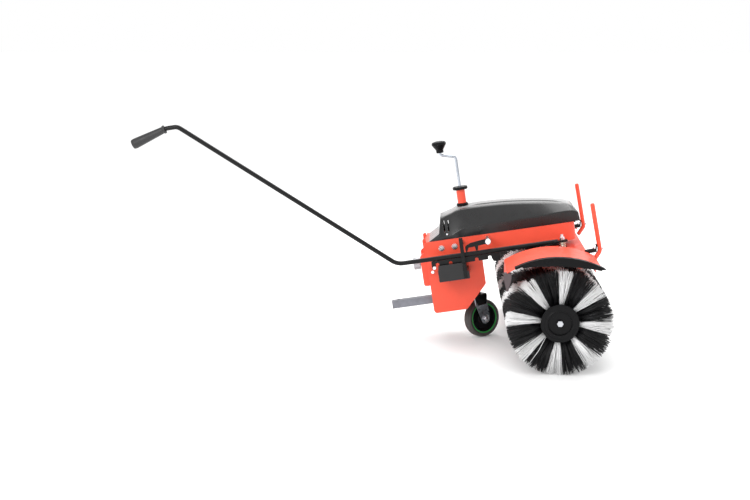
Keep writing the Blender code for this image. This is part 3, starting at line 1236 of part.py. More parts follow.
def rod_grip(lift):
    """The rubber grip on the rod's handle end."""
    way = Vector(GRIP_END) - Vector(GRIP_START)
    start = Vector(GRIP_START) + way.normalized() * GRIP_SLIP
    length = way.length - GRIP_SLIP
    bore = ROD_RADIUS + SEAT
    depth = GRIP_BORE + RUN
    root, tip = GRIP_ROOT_RADIUS, GRIP_TIP_RADIUS
    profile = [(bore, 0), (root + 0.003, 0), (root + 0.003, 0.005), (root, 0.008),
               (tip - 0.002, length * 0.6), (tip, length - 0.012), (tip - 0.004, length - 0.002),
               (0.006, length), (0, length), (0, depth), (bore, depth)]
    body = turned_open("rod_grip", profile, 16)
    spot = (start[0] - STUD_AT, 0, start[1] - ROD_HEIGHT)
    place(body, lift, "rubber", at=spot, turn=(0, atan2(way[0], way[1]), 0))


def hold_down_pawl(axis):
    """The forked pawl whose two fingers rest on the rod and keep the comb down."""
    floor = ROD_HEIGHT + ROD_RADIUS + SEAT - PAWL_AT[1]
    far, near = PAWL_FAR_FINGER - PAWL_AT[0], PAWL_NEAR_FINGER - PAWL_AT[0]
    outline = arc((0, 0), PAWL_EYE, 115, -110, 10)
    tip = [(0.0035, floor + 0.003), (0.0015, floor), (-0.0015, floor), (-0.0035, floor + 0.003)]
    outline += [(-0.012, -0.0075), (near + 0.0065, -0.0105)]
    outline += [(near + along, height) for along, height in tip]
    outline += [(near - 0.006, -0.0115), (far + 0.008, -0.0125)]
    outline += [(far + along, height) for along, height in tip]
    outline += [(far - 0.0035, -0.0085), (far + 0.004, -0.0025), (far + 0.018, 0.003)]
    half = PAWL_THICKNESS / 2
    body = prism("hold_down_pawl", outline, ROD_Y - half, ROD_Y + half)
    cut(body, cylinder("pawl_bore", PAWL_BORE + RUN, ROD_Y - 0.01, ROD_Y + 0.01, 12, "Y"))
    place(body, axis, "black_paint")


def caster_post(axis):
    """The post that slides in the tube, bored for the spindle, with the stub that the yoke turns on."""
    low = YOKE_BOTTOM - RUN
    bore = SPINDLE_RADIUS + RUN
    under, shoulder = low - STUB_HEAD, HUB_TOP + RUN
    profile = [(0, under), (STUB_HEAD_RADIUS, under), (STUB_HEAD_RADIUS, low), (STUB_RADIUS, low),
               (STUB_RADIUS, shoulder), (POST_RADIUS, shoulder), (POST_RADIUS, POST_TOP), (bore, POST_TOP),
               (bore, POST_BORE_BOTTOM), (0, POST_BORE_BOTTOM)]
    place(turned_open("caster_post", profile, 18), axis, "black_paint")


def wheel_height():
    """Height of the axle above the floor, from the lowest point of the turned and tilted tyre."""
    lowest = 0
    for radius, along in tyre_profile():
        for k in range(TYRE_SIDES):
            angle = 2 * pi * k / TYRE_SIDES
            forward = radius * cos(angle) * cos(CASTER_TURN) * sin(FRAME_TILT)
            upward = radius * sin(angle) * cos(FRAME_TILT)
            lowest = min(lowest, forward + upward - along * sin(CASTER_TURN) * sin(FRAME_TILT))
    return -lowest


def tyre_profile():
    """The section of the tyre, (radius, distance along the axle), from its right lip to its left."""
    half, edge = TYRE_WIDTH / 2, TYRE_SHOULDER
    right = [(RIM_RADIUS, -half + 0.003), (WHEEL_RADIUS - edge, -half),
             (WHEEL_RADIUS - edge * 0.3, -half + edge * 0.3), (WHEEL_RADIUS, -half + edge)]
    return right + [(radius, -along) for radius, along in right[::-1]]


def axle_along():
    """Height of the axle along the post's own direction, so that the tyre stands on the floor."""
    behind = POST_AT - TRAIL * cos(CASTER_TURN)
    return (wheel_height() - behind * sin(FRAME_TILT)) / cos(FRAME_TILT)


def caster_yoke(swivel):
    """The black channel over the fork, with the hub that turns on the post."""
    inner = FORK_OUTER + SEAT
    outer = inner + FORK_PLATE
    rear, front = -TRAIL - FORK_WIDTH / 2 + 0.004, FORK_WIDTH / 2 + 0.004
    corners = [(rear, -outer), (front, -outer), (front, outer), (rear, outer)]
    outline = rounded(corners, [0.004] * 4)
    body = prism("caster_yoke", outline, YOKE_BOTTOM, YOKE_BOTTOM + YOKE_PLATE, "Z")
    join(body, cylinder("yoke_hub", YOKE_HUB_RADIUS, YOKE_BOTTOM + 0.001, HUB_TOP, 20))
    low, bend, lap = YOKE_BOTTOM - YOKE_DEPTH, YOKE_BOTTOM - 0.006, YOKE_BOTTOM + 0.002
    wall = [(rear + 0.008, low), (front - 0.012, low), (front - 0.001, bend), (front - 0.001, lap),
            (rear + 0.001, lap), (rear + 0.001, bend)]
    for side in (-1, 1):
        y = sorted((side * inner, side * outer))
        join(body, prism(f"yoke_wall_{side}", wall, y[0], y[1]))
    cut(body, cylinder("stub_bore", STUB_RADIUS + RUN, YOKE_BOTTOM - 0.01, HUB_TOP + 0.01, 16))
    place(body, swivel, "black_paint")


def caster_fork(swivel, axle):
    """The zinc fork inside the yoke: a crown with a hole for the post's head, and two cheeks."""
    top = YOKE_BOTTOM - SEAT
    rear, front = -TRAIL - FORK_WIDTH / 2 + 0.004, FORK_WIDTH / 2 + 0.002
    half = FORK_OUTER
    corners = [(rear, -half), (front, -half), (front, half), (rear, half)]
    body = prism("caster_fork", corners, top - FORK_PLATE, top, "Z")
    radius = FORK_WIDTH / 2 - 0.002
    bottom = arc((-TRAIL, axle), radius, 190, 350, 10)
    cheek = bottom + [(front, top - 0.028), (front, top - 0.001), (rear, top - 0.001), (rear, top - 0.028)]
    for side in (-1, 1):
        y = sorted((side * FORK_INNER, side * FORK_OUTER))
        join(body, prism(f"cheek_{side}", cheek, y[0], y[1]))
    cut(body, cylinder("head_room", STUB_HEAD_RADIUS + 4 * RUN, top - 0.02, top + 0.01, 16))
    wide = FORK_OUTER + 0.01
    cut(body, cylinder("axle_hole", AXLE_RADIUS + SEAT, -wide, wide, 16, "Y", (-TRAIL, 0, axle)))
    place(body, swivel, "zinc")


def caster_axle(swivel, axle):
    """The bolt through the fork that the wheel turns on."""
    seat = FORK_OUTER + SEAT
    heights = (seat + 0.008, seat + 0.006, seat, -seat, -seat - 0.006)
    place(bolt("caster_axle", AXLE_RADIUS, AXLE_HEAD, heights, "Y"), swivel, "zinc", at=(-TRAIL, 0, axle))


def caster_tyre(axle):
    place(turned("caster_tyre", tyre_profile(), TYRE_SIDES, "Y"), axle, "rubber")


def caster_rim(axle):
    """The wheel's dished centre: a rim, a web and a hub."""
    bore, rim, hub = AXLE_RADIUS + RUN, RIM_RADIUS - SEAT, RIM_HUB_RADIUS
    half = TYRE_WIDTH / 2 - 0.004
    web, lip = RIM_WEB / 2, 0.004
    long = FORK_INNER - RUN
    inner = rim - lip
    right = [(bore, -long), (hub, -long), (hub, -web), (inner, -web), (inner, -half), (rim, -half)]
    profile = right + [(radius, -along) for radius, along in right[::-1]]
    place(turned("caster_rim", profile, 18, "Y"), axle, "black_plastic")


def crank_rod(axis):
    """The threaded spindle and its crank, in one bar."""
    end = KNOB_BOTTOM + KNOB_HEIGHT * 0.75
    points = [(0, 0, SPINDLE_BOTTOM), (0, 0, CRANK_BEND), (-CRANK_THROW, 0, CRANK_BEND + CRANK_RISE),
              (-CRANK_THROW, 0, end)]
    place(bar("crank_rod", bent_path(points, (0.010, 0.008)), SPINDLE_RADIUS, 10), axis, "chrome")


def crank_knob(axis):
    """The flared knob that turns on the crank's pin."""
    bore = SPINDLE_RADIUS + RUN
    depth = KNOB_HEIGHT * 0.75 + 4 * RUN
    r, neck, h = KNOB_RADIUS, KNOB_NECK_RADIUS, KNOB_HEIGHT
    profile = [(bore, 0), (neck, 0), (neck + 0.001, h * 0.25), (r * 0.8, h * 0.5), (r, h * 0.72),
               (r, h * 0.82), (r - 0.003, h * 0.94), (r * 0.5, h), (0, h), (0, depth), (bore, depth)]
    place(turned_open("crank_knob", profile, 18), axis, "black_plastic")


def chassis(frame):
    main_beam(frame)
    side_plate(frame, -1)
    side_plate(frame, 1)
    rear_flange(frame)
    coupling_bar(frame)
    swivel_plate(frame)
    guide_tube(frame)
    tube_collar(frame)
    height_disc(frame)
    belt_cover(frame)
    index_block(frame)
    guide_strap(frame)
    index_pin(frame)
    pawl_stud(frame)
    input_housing(frame)
    drive_belt(frame)
    for end, at in BEAM_BOLTS:
        beam_bolt(frame, end, at)


def head(frame, upright):
    gearbox_housing(frame)
    swivel_ring(frame)
    head_crossbar(frame)
    rod_bracket(frame)
    for side, name in ((-1, "right"), (1, "left")):
        hood(upright, side, name)
        hood_trim(upright, side, name)
        rear_flap(upright, side, name)
        stay(upright, side, name)
        stay_bolt(upright, side, name)
        brace(upright, side, name)


def brush(axis):
    brush_shaft(axis)
    for side, name in ((-1, "right"), (1, "left")):
        bristle_half(axis, side, name)
        hub_disc(axis, side, name)
        end_bolt(axis, side, name)


def stand_on_floor(machine):
    """Move the machine so that it stands on Z = 0 with its box centred over the origin."""
    bpy.context.view_layer.update()
    graph = bpy.context.evaluated_depsgraph_get()
    corners = []
    for obj in bpy.context.scene.objects:
        if obj.type != "MESH" or obj.hide_render:
            continue
        shape = obj.evaluated_get(graph).to_mesh()
        corners += [obj.matrix_world @ vertex.co for vertex in shape.vertices]
        obj.evaluated_get(graph).to_mesh_clear()
    low = [min(corner[i] for corner in corners) for i in range(3)]
    high = [max(corner[i] for corner in corners) for i in range(3)]
    machine.location = (-(low[0] + high[0]) / 2, -(low[1] + high[1]) / 2, -low[2])
    bpy.context.view_layer.update()


def main():
    clear_scene()
    machine = empty("machine")
    frame = empty("chassis_frame", machine, turn=(0, -FRAME_TILT, 0))
    chassis(frame)
    swivel = empty("head_swivel_axis", frame, (SWIVEL_U, 0, 0))
    head_frame = empty("head_frame", swivel, (-SWIVEL_U, 0, 0))
    upright = level("head_level", swivel, machine)
    head(head_frame, upright)
    brush(empty("brush_axis", upright, (0, 0, AXLE_HEIGHT)))
    worm_axis = empty("worm_axis", swivel)
    worm_shaft(worm_axis)
    front_pulley(worm_axis)
    rear_pulley(empty("rear_pulley_axis", frame, (REAR_PULLEY_AT, 0, 0)))
    input_shaft(empty("input_axis", frame, (0, 0, INPUT_HEIGHT)))
    stud_axis = empty("stud_axis", head_frame, (STUD_AT, ROD_Y, ROD_HEIGHT))
    rod_stud(stud_axis)
    stud_spring(stud_axis)
    lift = empty("rod_lift_axis", stud_axis)
    control_rod(lift)
    index_comb(lift)
    rod_grip(lift)
    hold_down_pawl(empty("pawl_axis", frame, (PAWL_AT[0], 0, PAWL_AT[1])))
    post = empty("height_axis", frame, (POST_AT, 0, 0))
    caster_post(post)
    fork = empty("caster_swivel_axis", post, turn=(0, 0, CASTER_TURN))
    along = axle_along()
    caster_yoke(fork)
    caster_fork(fork, along)
    caster_axle(fork, along)
    wheel = empty("wheel_axis", fork, (-TRAIL, 0, along))
    caster_tyre(wheel)
    caster_rim(wheel)
    crank_rod(empty("crank_axis", frame, (POST_AT, 0, 0)))
    crank_knob(empty("knob_axis", frame, (POST_AT - CRANK_THROW, 0, KNOB_BOTTOM)))
    stand_on_floor(machine)
    for obj in bpy.context.scene.objects:
        if obj.type == "EMPTY":
            spot = obj.matrix_world.translation
            print(f"{obj.name}: {spot.x:.5f} {spot.y:.5f} {spot.z:.5f}")


main()
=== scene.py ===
import json
from math import acos, atan2, cos, hypot, pi, radians, sin, tan

import bmesh
import bpy
import numpy as np
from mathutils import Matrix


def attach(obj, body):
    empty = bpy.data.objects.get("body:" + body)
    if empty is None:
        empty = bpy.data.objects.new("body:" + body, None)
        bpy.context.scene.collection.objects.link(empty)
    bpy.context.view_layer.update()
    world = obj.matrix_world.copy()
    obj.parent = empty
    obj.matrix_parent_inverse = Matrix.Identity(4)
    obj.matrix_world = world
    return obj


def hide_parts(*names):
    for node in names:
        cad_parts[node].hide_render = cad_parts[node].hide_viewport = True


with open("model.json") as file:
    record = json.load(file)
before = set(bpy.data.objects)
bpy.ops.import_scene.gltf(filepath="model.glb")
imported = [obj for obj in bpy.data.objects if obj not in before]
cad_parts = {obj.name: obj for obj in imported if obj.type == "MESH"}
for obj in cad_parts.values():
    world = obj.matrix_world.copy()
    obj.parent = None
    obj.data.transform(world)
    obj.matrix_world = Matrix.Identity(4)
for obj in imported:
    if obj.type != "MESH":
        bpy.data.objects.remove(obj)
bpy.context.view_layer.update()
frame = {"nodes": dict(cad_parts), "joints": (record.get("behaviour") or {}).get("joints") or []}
nodes = frame["nodes"]
joints = {joint["name"]: joint for joint in frame["joints"]}
print("frame loaded:", len(nodes), "nodes")

# Places, and the angle by which the beam climbs towards the brush
beamTilt = radians(8.8)
brushAxis = np.array(joints["brush_spin"]["pos_m"])
wheelAxis = np.array(joints["wheel_spin"]["axis"])
wheelCentre = np.array(joints["wheel_spin"]["pos_m"])
machineX = brushAxis[0]
acrossMachine = np.array([0.0, 1.0, 0.0])


def beamPoint(u, y, w):
    # along the beam, across it and square to it, as a place in the frame
    u, y, w = np.broadcast_arrays(*(np.asarray(v, float) for v in (u, y, w)))
    ahead, up = u * cos(beamTilt) - w * sin(beamTilt), u * sin(beamTilt) + w * cos(beamTilt)
    return np.stack([ahead + machineX, y, up], -1)


def levelPoint(x, y, z):
    # the same for the brush head, which is drawn level, from the brush's axis
    x, y, z = np.broadcast_arrays(*(np.asarray(v, float) for v in (x, y, z)))
    return np.stack([x + machineX, y, z], -1)


beamUp = beamPoint(0, 0, 1) - beamPoint(0, 0, 0)
beamAhead = beamPoint(1, 0, 0) - beamPoint(0, 0, 0)


# Meshes
def meshOf(name, points, faces, sharp=35):
    # points and faces as arrays or lists; a closed mesh whose volume, the sum of a.(b x c) over its triangles,
    # comes out negative is turned. Edges sharper than the angle stay hard.
    mesh = bpy.data.meshes.new(name)
    mesh.from_pydata(np.asarray(points, float).tolist(), [], faces)
    mesh.calc_loop_triangles()
    corners = np.zeros(len(mesh.loop_triangles) * 3, np.int32)
    mesh.loop_triangles.foreach_get("vertices", corners)
    p = np.asarray(points, float)[corners].reshape(-1, 3, 3)
    if np.einsum("ij,ij->i", p[:, 0], np.cross(p[:, 1], p[:, 2])).sum() < 0:
        mesh.flip_normals()
    mesh.shade_smooth()
    mesh.set_sharp_from_angle(angle=radians(sharp))
    piece = bpy.data.objects.new(name, mesh)
    bpy.context.scene.collection.objects.link(piece)
    return piece


def gridFaces(rows, columns, wrapRows=False, wrapColumns=False):
    # quads between neighbours of a rows by columns grid, joined round where it wraps
    i = np.arange(rows if wrapRows else rows - 1)[:, None]
    j = np.arange(columns if wrapColumns else columns - 1)[None, :]
    nextI, nextJ = (i + 1) % rows, (j + 1) % columns
    corners = (i * columns + j, i * columns + nextJ, nextI * columns + nextJ, nextI * columns + j)
    return np.stack(corners, -1).reshape(-1, 4).tolist()


def tubeMesh(name, rings, sharp=35, closed=False):
    # rings[i, j]: the j-th point round the i-th ring; the ends are capped unless the rings close on themselves
    rows, columns = rings.shape[:2]
    faces = gridFaces(rows, columns, closed, True)
    if not closed:
        faces += [list(range(columns))[::-1], list(range((rows - 1) * columns, rows * columns))]
    return meshOf(name, rings.reshape(-1, 3), faces, sharp)


def axisFrame(axis, ahead=(1, 0, 0)):
    # two directions square to an axis and to each other
    axis = np.asarray(axis, float) / np.linalg.norm(axis)
    one = np.asarray(ahead, float) - axis * np.dot(ahead, axis)
    one /= np.linalg.norm(one)
    return axis, one, np.cross(axis, one)


def lathe(name, profile, origin, axis, sides=64, sharp=35, ahead=(1, 0, 0)):
    # Each (radius, along) of the profile swept round the axis:
    # origin + axis*along + radius*(one*cos t + two*sin t). A profile whose ends lie on the axis is closed by a fan
    # at each end, and any other closes on itself.
    axis, one, two = axisFrame(axis, ahead)
    profile = np.asarray(profile, float)
    turn = np.linspace(0, 2 * pi, sides, endpoint=False)
    spokes = one * np.cos(turn)[:, None] + two * np.sin(turn)[:, None]
    rings = np.asarray(origin) + axis * profile[:, 1, None, None] + spokes * profile[:, 0, None, None]
    onAxis = profile[[0, -1], 0] < 1e-9
    if not onAxis.any():
        return tubeMesh(name, rings, sharp, closed=True)
    inner = rings[1:-1]
    rows = len(inner)
    faces = gridFaces(rows, sides, False, True)
    points = np.vstack([inner.reshape(-1, 3), rings[0, :1], rings[-1, :1]])
    j = np.arange(sides)
    low, high = rows * sides, rows * sides + 1
    faces += np.stack([np.full(sides, low), (j + 1) % sides, j], -1).tolist()
    top = (rows - 1) * sides
    faces += np.stack([np.full(sides, high), top + j, top + (j + 1) % sides], -1).tolist()
    return meshOf(name, points, faces, sharp)


def roundedProfile(corners, radii, steps=4):
    # A polyline whose inner corners are rounded by start*(1-t)^2 + corner*2t(1-t) + end*t^2; start and end lie
    # radius / tan(half the corner's angle) away from the corner. The polyline's own ends stay.
    corners = np.asarray(corners, float)
    made = [corners[:1]]
    for before, here, after, radius in zip(corners, corners[1:], corners[2:], radii):
        into, out = before - here, after - here
        reach = min(np.linalg.norm(into), np.linalg.norm(out)) * 0.49
        into, out = into / np.linalg.norm(into), out / np.linalg.norm(out)
        half = acos(np.clip(into @ out, -1, 1)) / 2
        back = min(radius / tan(half), reach) if radius else 0
        if back < 1e-7:
            made.append(here[None])
            continue
        t = np.linspace(0, 1, steps + 1)[:, None]
        start, end = here + into * back, here + out * back
        made.append(start * (1 - t) ** 2 + here * 2 * t * (1 - t) + end * t ** 2)
    return np.vstack(made + [corners[-1:]])


def ringProfile(corners, radii, steps=4):
    # a rounded profile that closes on itself, from its first corner, which stays sharp, and back to it
    return roundedProfile(list(corners) + [corners[0]], radii, steps)[:-1]


def bentPath(corners, radii, steps=8):
    # Straight runs through points in space, each corner bent on an arc about a middle that lies
    # radius / sin(half the corner's angle) from it. One and two are the arc's end spokes:
    # middle + radius*(one*sin((1-t)*span) + two*sin(t*span)) / sin(span).
    corners = [np.asarray(c, float) for c in corners]
    made = [corners[0][None]]
    for before, here, after, radius in zip(corners, corners[1:], corners[2:], radii):
        into, out = before - here, after - here
        into, out = into / np.linalg.norm(into), out / np.linalg.norm(out)
        half = acos(into @ out) / 2
        middle = here + (into + out) / np.linalg.norm(into + out) * radius / sin(half)
        one = (here + into * radius / tan(half) - middle) / radius
        two = (here + out * radius / tan(half) - middle) / radius
        span = acos(np.clip(one @ two, -1, 1))
        t = np.linspace(0, 1, steps + 1)[:, None]
        spokes = (one * np.sin((1 - t) * span) + two * np.sin(t * span)) / sin(span)
        made.append(middle + radius * spokes)
    return np.vstack(made + [corners[-1][None]])


def barMesh(name, path, radius, square, sides=24, endRound=0.0012, sharp=35):
    # A round bar along a path that lies in one plane; square is that plane's normal. Each point is the path's
    # own + radius*(across*cos t + square*sin t). Its two ends narrow a little over their last bit.
    path = np.asarray(path, float)
    way = np.gradient(path, axis=0)
    way /= np.linalg.norm(way, axis=1)[:, None]
    square = np.asarray(square, float) / np.linalg.norm(square)
    across = np.cross(way, square)
    across /= np.linalg.norm(across, axis=1)[:, None]
    ease = min(endRound, radius * 0.6)
    path = np.vstack([path[:1], path[:1] + way[:1] * ease, path[1:-1], path[-1:] - way[-1:] * ease, path[-1:]])
    across = np.vstack([across[:1], across, across[-1:]])
    radius = np.array([radius - ease] + [radius] * (len(path) - 2) + [radius - ease])
    turn = np.linspace(0, 2 * pi, sides, endpoint=False)
    spokes = across[:, None] * np.cos(turn)[:, None] + square * np.sin(turn)[:, None]
    return tubeMesh(name, path[:, None] + spokes * radius[:, None, None], sharp)


def softCorners(corners, reach, steps=4):
    # corners[i, k]: the k-th corner of the i-th row. Each inner corner becomes the short curve
    # start*(1-t)^2 + corner*2t(1-t) + end*t^2, whose start and end lie its reach away along both sides.
    t = np.linspace(0, 1, steps + 1)[:, None]
    made = [corners[:, :1]]
    for k, far in enumerate(reach, 1):
        here = corners[:, k:k + 1]
        ends = []
        for other in (corners[:, k - 1:k], corners[:, k + 1:k + 2]):
            way = other - here
            length = np.linalg.norm(way, axis=-1, keepdims=True)
            ends.append(here + way / length * np.minimum(far, length * 0.48))
        made.append(ends[0] * (1 - t) ** 2 + here * 2 * t * (1 - t) + ends[1] * t ** 2)
    return np.concatenate(made + [corners[:, -1:]], 1)


def smoothRows(stations, count):
    # Each value of the stations follows a smooth curve through them. Between a and b with slopes m and n it is
    # a*(2t^3-3t^2+1) + m*(t^3-2t^2+t) + b*(3t^2-2t^3) + n*(t^3-t^2), a slope being its neighbours' mean slope.
    stations = np.asarray(stations, float)
    last = len(stations) - 1
    at = np.linspace(0, last, count)
    k = np.minimum(at.astype(int), last - 1)
    t = (at - k)[:, None]
    slope = np.gradient(stations, axis=0)
    a, b, m, n = stations[k], stations[k + 1], slope[k], slope[k + 1]
    values = a * (2 * t ** 3 - 3 * t ** 2 + 1) + b * (3 * t ** 2 - 2 * t ** 3)
    return values + m * (t ** 3 - 2 * t ** 2 + t) + n * (t ** 3 - t ** 2)


def shellMesh(name, rows, wall, floorW, sharp=35):
    # An open-bottomed moulded shell. rows[i, j]: beam places from the right foot over the top to the left foot.
    # Its two ends are closed by strips from each point to the one across. The inside lies a wall's thickness in,
    # along the normal, which is the cross product of the two ways that the rows run.
    count, across = rows.shape[:2]
    out = np.cross(np.gradient(rows, axis=1), np.gradient(rows, axis=0))
    out /= np.linalg.norm(out, axis=-1, keepdims=True)
    middle = rows.mean(axis=(0, 1))
    if np.einsum("ijk,ijk->ij", out, rows - middle).mean() < 0:
        out = -out
    inside = rows - out * wall
    inside[0, :, 0] = np.maximum(inside[0, :, 0], rows[0, :, 0] + wall)
    inside[-1, :, 0] = np.minimum(inside[-1, :, 0], rows[-1, :, 0] - wall)
    inside[..., 2] = np.maximum(inside[..., 2], floorW)
    outer = beamPoint(*rows.reshape(-1, 3).T)
    inner = beamPoint(*inside.reshape(-1, 3).T)
    total = count * across
    grid = gridFaces(count, across)
    faces = grid + [[i + total for i in face[::-1]] for face in grid]
    last = (count - 1) * across
    for first, turned in ((0, False), (last, True)):
        far = first + across - 1
        strips = [[first + j, first + j + 1, far - 1 - j, far - j] for j in range(across // 2 - 1)]
        strips = [face[::-1] for face in strips] if turned else strips
        faces += strips + [[i + total for i in face[::-1]] for face in strips]
    for column, turned in ((0, False), (across - 1, True)):
        edge = np.arange(count) * across + column
        rim = [[a, a + total, b + total, b] for a, b in zip(edge[:-1].tolist(), edge[1:].tolist())]
        faces += [face[::-1] for face in rim] if turned else rim
    faces.append([0, across - 1, across - 1 + total, total])
    faces.append([last, last + total, last + across - 1 + total, last + across - 1])
    return meshOf(name, np.vstack([outer, inner]), faces, sharp)


def cutBy(piece, cutters, sharp=38):
    # takes closed forms away from a piece for good
    for cutter in cutters:
        trim = piece.modifiers.new("cut", "BOOLEAN")
        trim.operation = "DIFFERENCE"
        trim.solver = "EXACT"
        trim.object = cutter
    bpy.context.view_layer.update()
    done = bpy.data.meshes.new_from_object(piece.evaluated_get(bpy.context.evaluated_depsgraph_get()))
    piece.modifiers.clear()
    piece.data = done
    for cutter in cutters:
        bpy.data.objects.remove(cutter, do_unlink=True)
    piece.data.shade_smooth()
    piece.data.set_sharp_from_angle(angle=radians(sharp))
    return piece


def slabMesh(name, low, high):
    # a closed block between two corners, given along the beam, across it and square to it
    (a, b, c), (d, e, f) = low, high
    points = [(a, b, c), (d, b, c), (d, e, c), (a, e, c), (a, b, f), (d, b, f), (d, e, f), (a, e, f)]
    faces = [[3, 2, 1, 0], [4, 5, 6, 7], [0, 1, 5, 4], [1, 2, 6, 5], [2, 3, 7, 6], [3, 0, 4, 7]]
    return meshOf(name, beamPoint(*np.array(points).T), faces)


def softened(node, name, width=0.0009, sharp=40, flat=1.2, merge=3e-5):
    # a merged copy of a solid: its flat faces are joined again and its edges are rounded by a live bevel
    mesh = nodes[node].data.copy()
    shape = bmesh.new()
    shape.from_mesh(mesh)
    bmesh.ops.remove_doubles(shape, verts=shape.verts, dist=merge)
    bmesh.ops.dissolve_limit(shape, angle_limit=radians(flat), verts=shape.verts, edges=shape.edges)
    shape.to_mesh(mesh)
    shape.free()
    mesh.materials.clear()
    mesh.shade_smooth()
    mesh.set_sharp_from_angle(angle=radians(sharp))
    piece = bpy.data.objects.new(name, mesh)
    bpy.context.scene.collection.objects.link(piece)
    edge = piece.modifiers.new("edges", "BEVEL")
    edge.width = width
    edge.segments = 2
    edge.limit_method = "ANGLE"
    edge.angle_limit = radians(sharp)
    edge.use_clamp_overlap = True
    edge.harden_normals = True
    return piece


# Finishes
surface = {
    "coatRoughness": 0.12, "sheenRoughness": 0.35, "mottleFrom": 0.30, "mottleTo": 0.70, "patchFiner": 4,
    "patchFrom": 0.3, "patchTo": 0.7, "leastRoughness": 0.02, "edgeRound": 0.0016, "edgeFlat": 0.985,
    "edgeSharp": 0.88, "rubScale": 120, "rubFrom": 0.42, "rubTo": 0.60,
}


def feed(tree, node, values):
    # gives each named input of a shader node its number or colour, or the socket that feeds it
    for name, value in values.items():
        if isinstance(value, bpy.types.NodeSocket):
            tree.links.new(value, node.inputs[name])
        else:
            node.inputs[name].default_value = value
    return node


def added(tree, kind, values, **settings):
    # a new shader node with its settings and its inputs
    made = tree.nodes.new("ShaderNode" + kind)
    for name, value in settings.items():
        setattr(made, name, value)
    return feed(tree, made, values)


def rubbedEdges(tree, where, colour, wear, rubbed):
    # Edges rub lighter. A normal rounded over the edge leans away from the face's own by the angle whose cosine
    # is their dot product; a noise breaks that band up.
    rounded = added(tree, "Bevel", {"Radius": surface["edgeRound"]}, samples=4)
    face = added(tree, "NewGeometry", {})
    agree = added(tree, "VectorMath", {0: rounded.outputs["Normal"], 1: face.outputs["Normal"]},
                  operation="DOT_PRODUCT")
    edge = added(tree, "MapRange", {"Value": agree.outputs["Value"], "From Min": surface["edgeFlat"],
                                    "From Max": surface["edgeSharp"], "To Max": wear})
    rubs = added(tree, "TexNoise", {"Vector": where, "Scale": surface["rubScale"], "Detail": 5})
    broken = added(tree, "MapRange", {"Value": rubs.outputs["Fac"], "From Min": surface["rubFrom"],
                                      "From Max": surface["rubTo"]})
    amount = added(tree, "Math", {0: edge.outputs["Result"], 1: broken.outputs["Result"]}, operation="MULTIPLY")
    mixed = added(tree, "MixRGB", {"Fac": amount.outputs[0], "Color1": colour, "Color2": (*rubbed, 1)})
    return mixed.outputs["Color"]


def finishOf(name, colour, roughness, metallic=0.0, mottle=0.06, mottleScale=9.0, grain=0.0, grainScale=900.0,
             roughSpread=0.06, coat=0.0, specular=0.5, sheen=0.0, wear=0.0, rubbed=(0.3, 0.3, 0.3)):
    # a Principled finish: slow mottling of colour, rubbed edges, a patchy roughness and a fine raised grain
    made = bpy.data.materials.new(name)
    made.use_nodes = True
    tree = made.node_tree
    where = added(tree, "TexCoord", {}).outputs["Object"]
    cloud = added(tree, "TexNoise", {"Vector": where, "Scale": mottleScale, "Detail": 6, "Roughness": 0.6})
    shades = added(tree, "ValToRGB", {"Fac": cloud.outputs["Fac"]})
    dark, light = shades.color_ramp.elements
    dark.position, light.position = surface["mottleFrom"], surface["mottleTo"]
    dark.color = (*[c * (1 - mottle) for c in colour], 1)
    light.color = (*[min(1, c * (1 + mottle)) for c in colour], 1)
    shown = shades.outputs["Color"]
    if wear:
        shown = rubbedEdges(tree, where, shown, wear, rubbed)
    patch = added(tree, "TexNoise", {"Vector": where, "Scale": mottleScale * surface["patchFiner"], "Detail": 4})
    spread = added(tree, "MapRange", {
        "Value": patch.outputs["Fac"], "From Min": surface["patchFrom"], "From Max": surface["patchTo"],
        "To Min": max(surface["leastRoughness"], roughness - roughSpread), "To Max": roughness + roughSpread})
    values = {
        "Base Color": shown, "Roughness": spread.outputs["Result"], "Metallic": metallic,
        "Specular IOR Level": specular, "Coat Weight": coat, "Coat Roughness": surface["coatRoughness"],
        "Sheen Weight": sheen, "Sheen Roughness": surface["sheenRoughness"],
    }
    if grain:
        pores = added(tree, "TexNoise", {"Vector": where, "Scale": grainScale, "Detail": 3})
        raised = added(tree, "Bump", {"Strength": 1.0, "Distance": grain, "Height": pores.outputs["Fac"]})
        values["Normal"] = raised.outputs["Normal"]
    feed(tree, tree.nodes["Principled BSDF"], values)
    return made


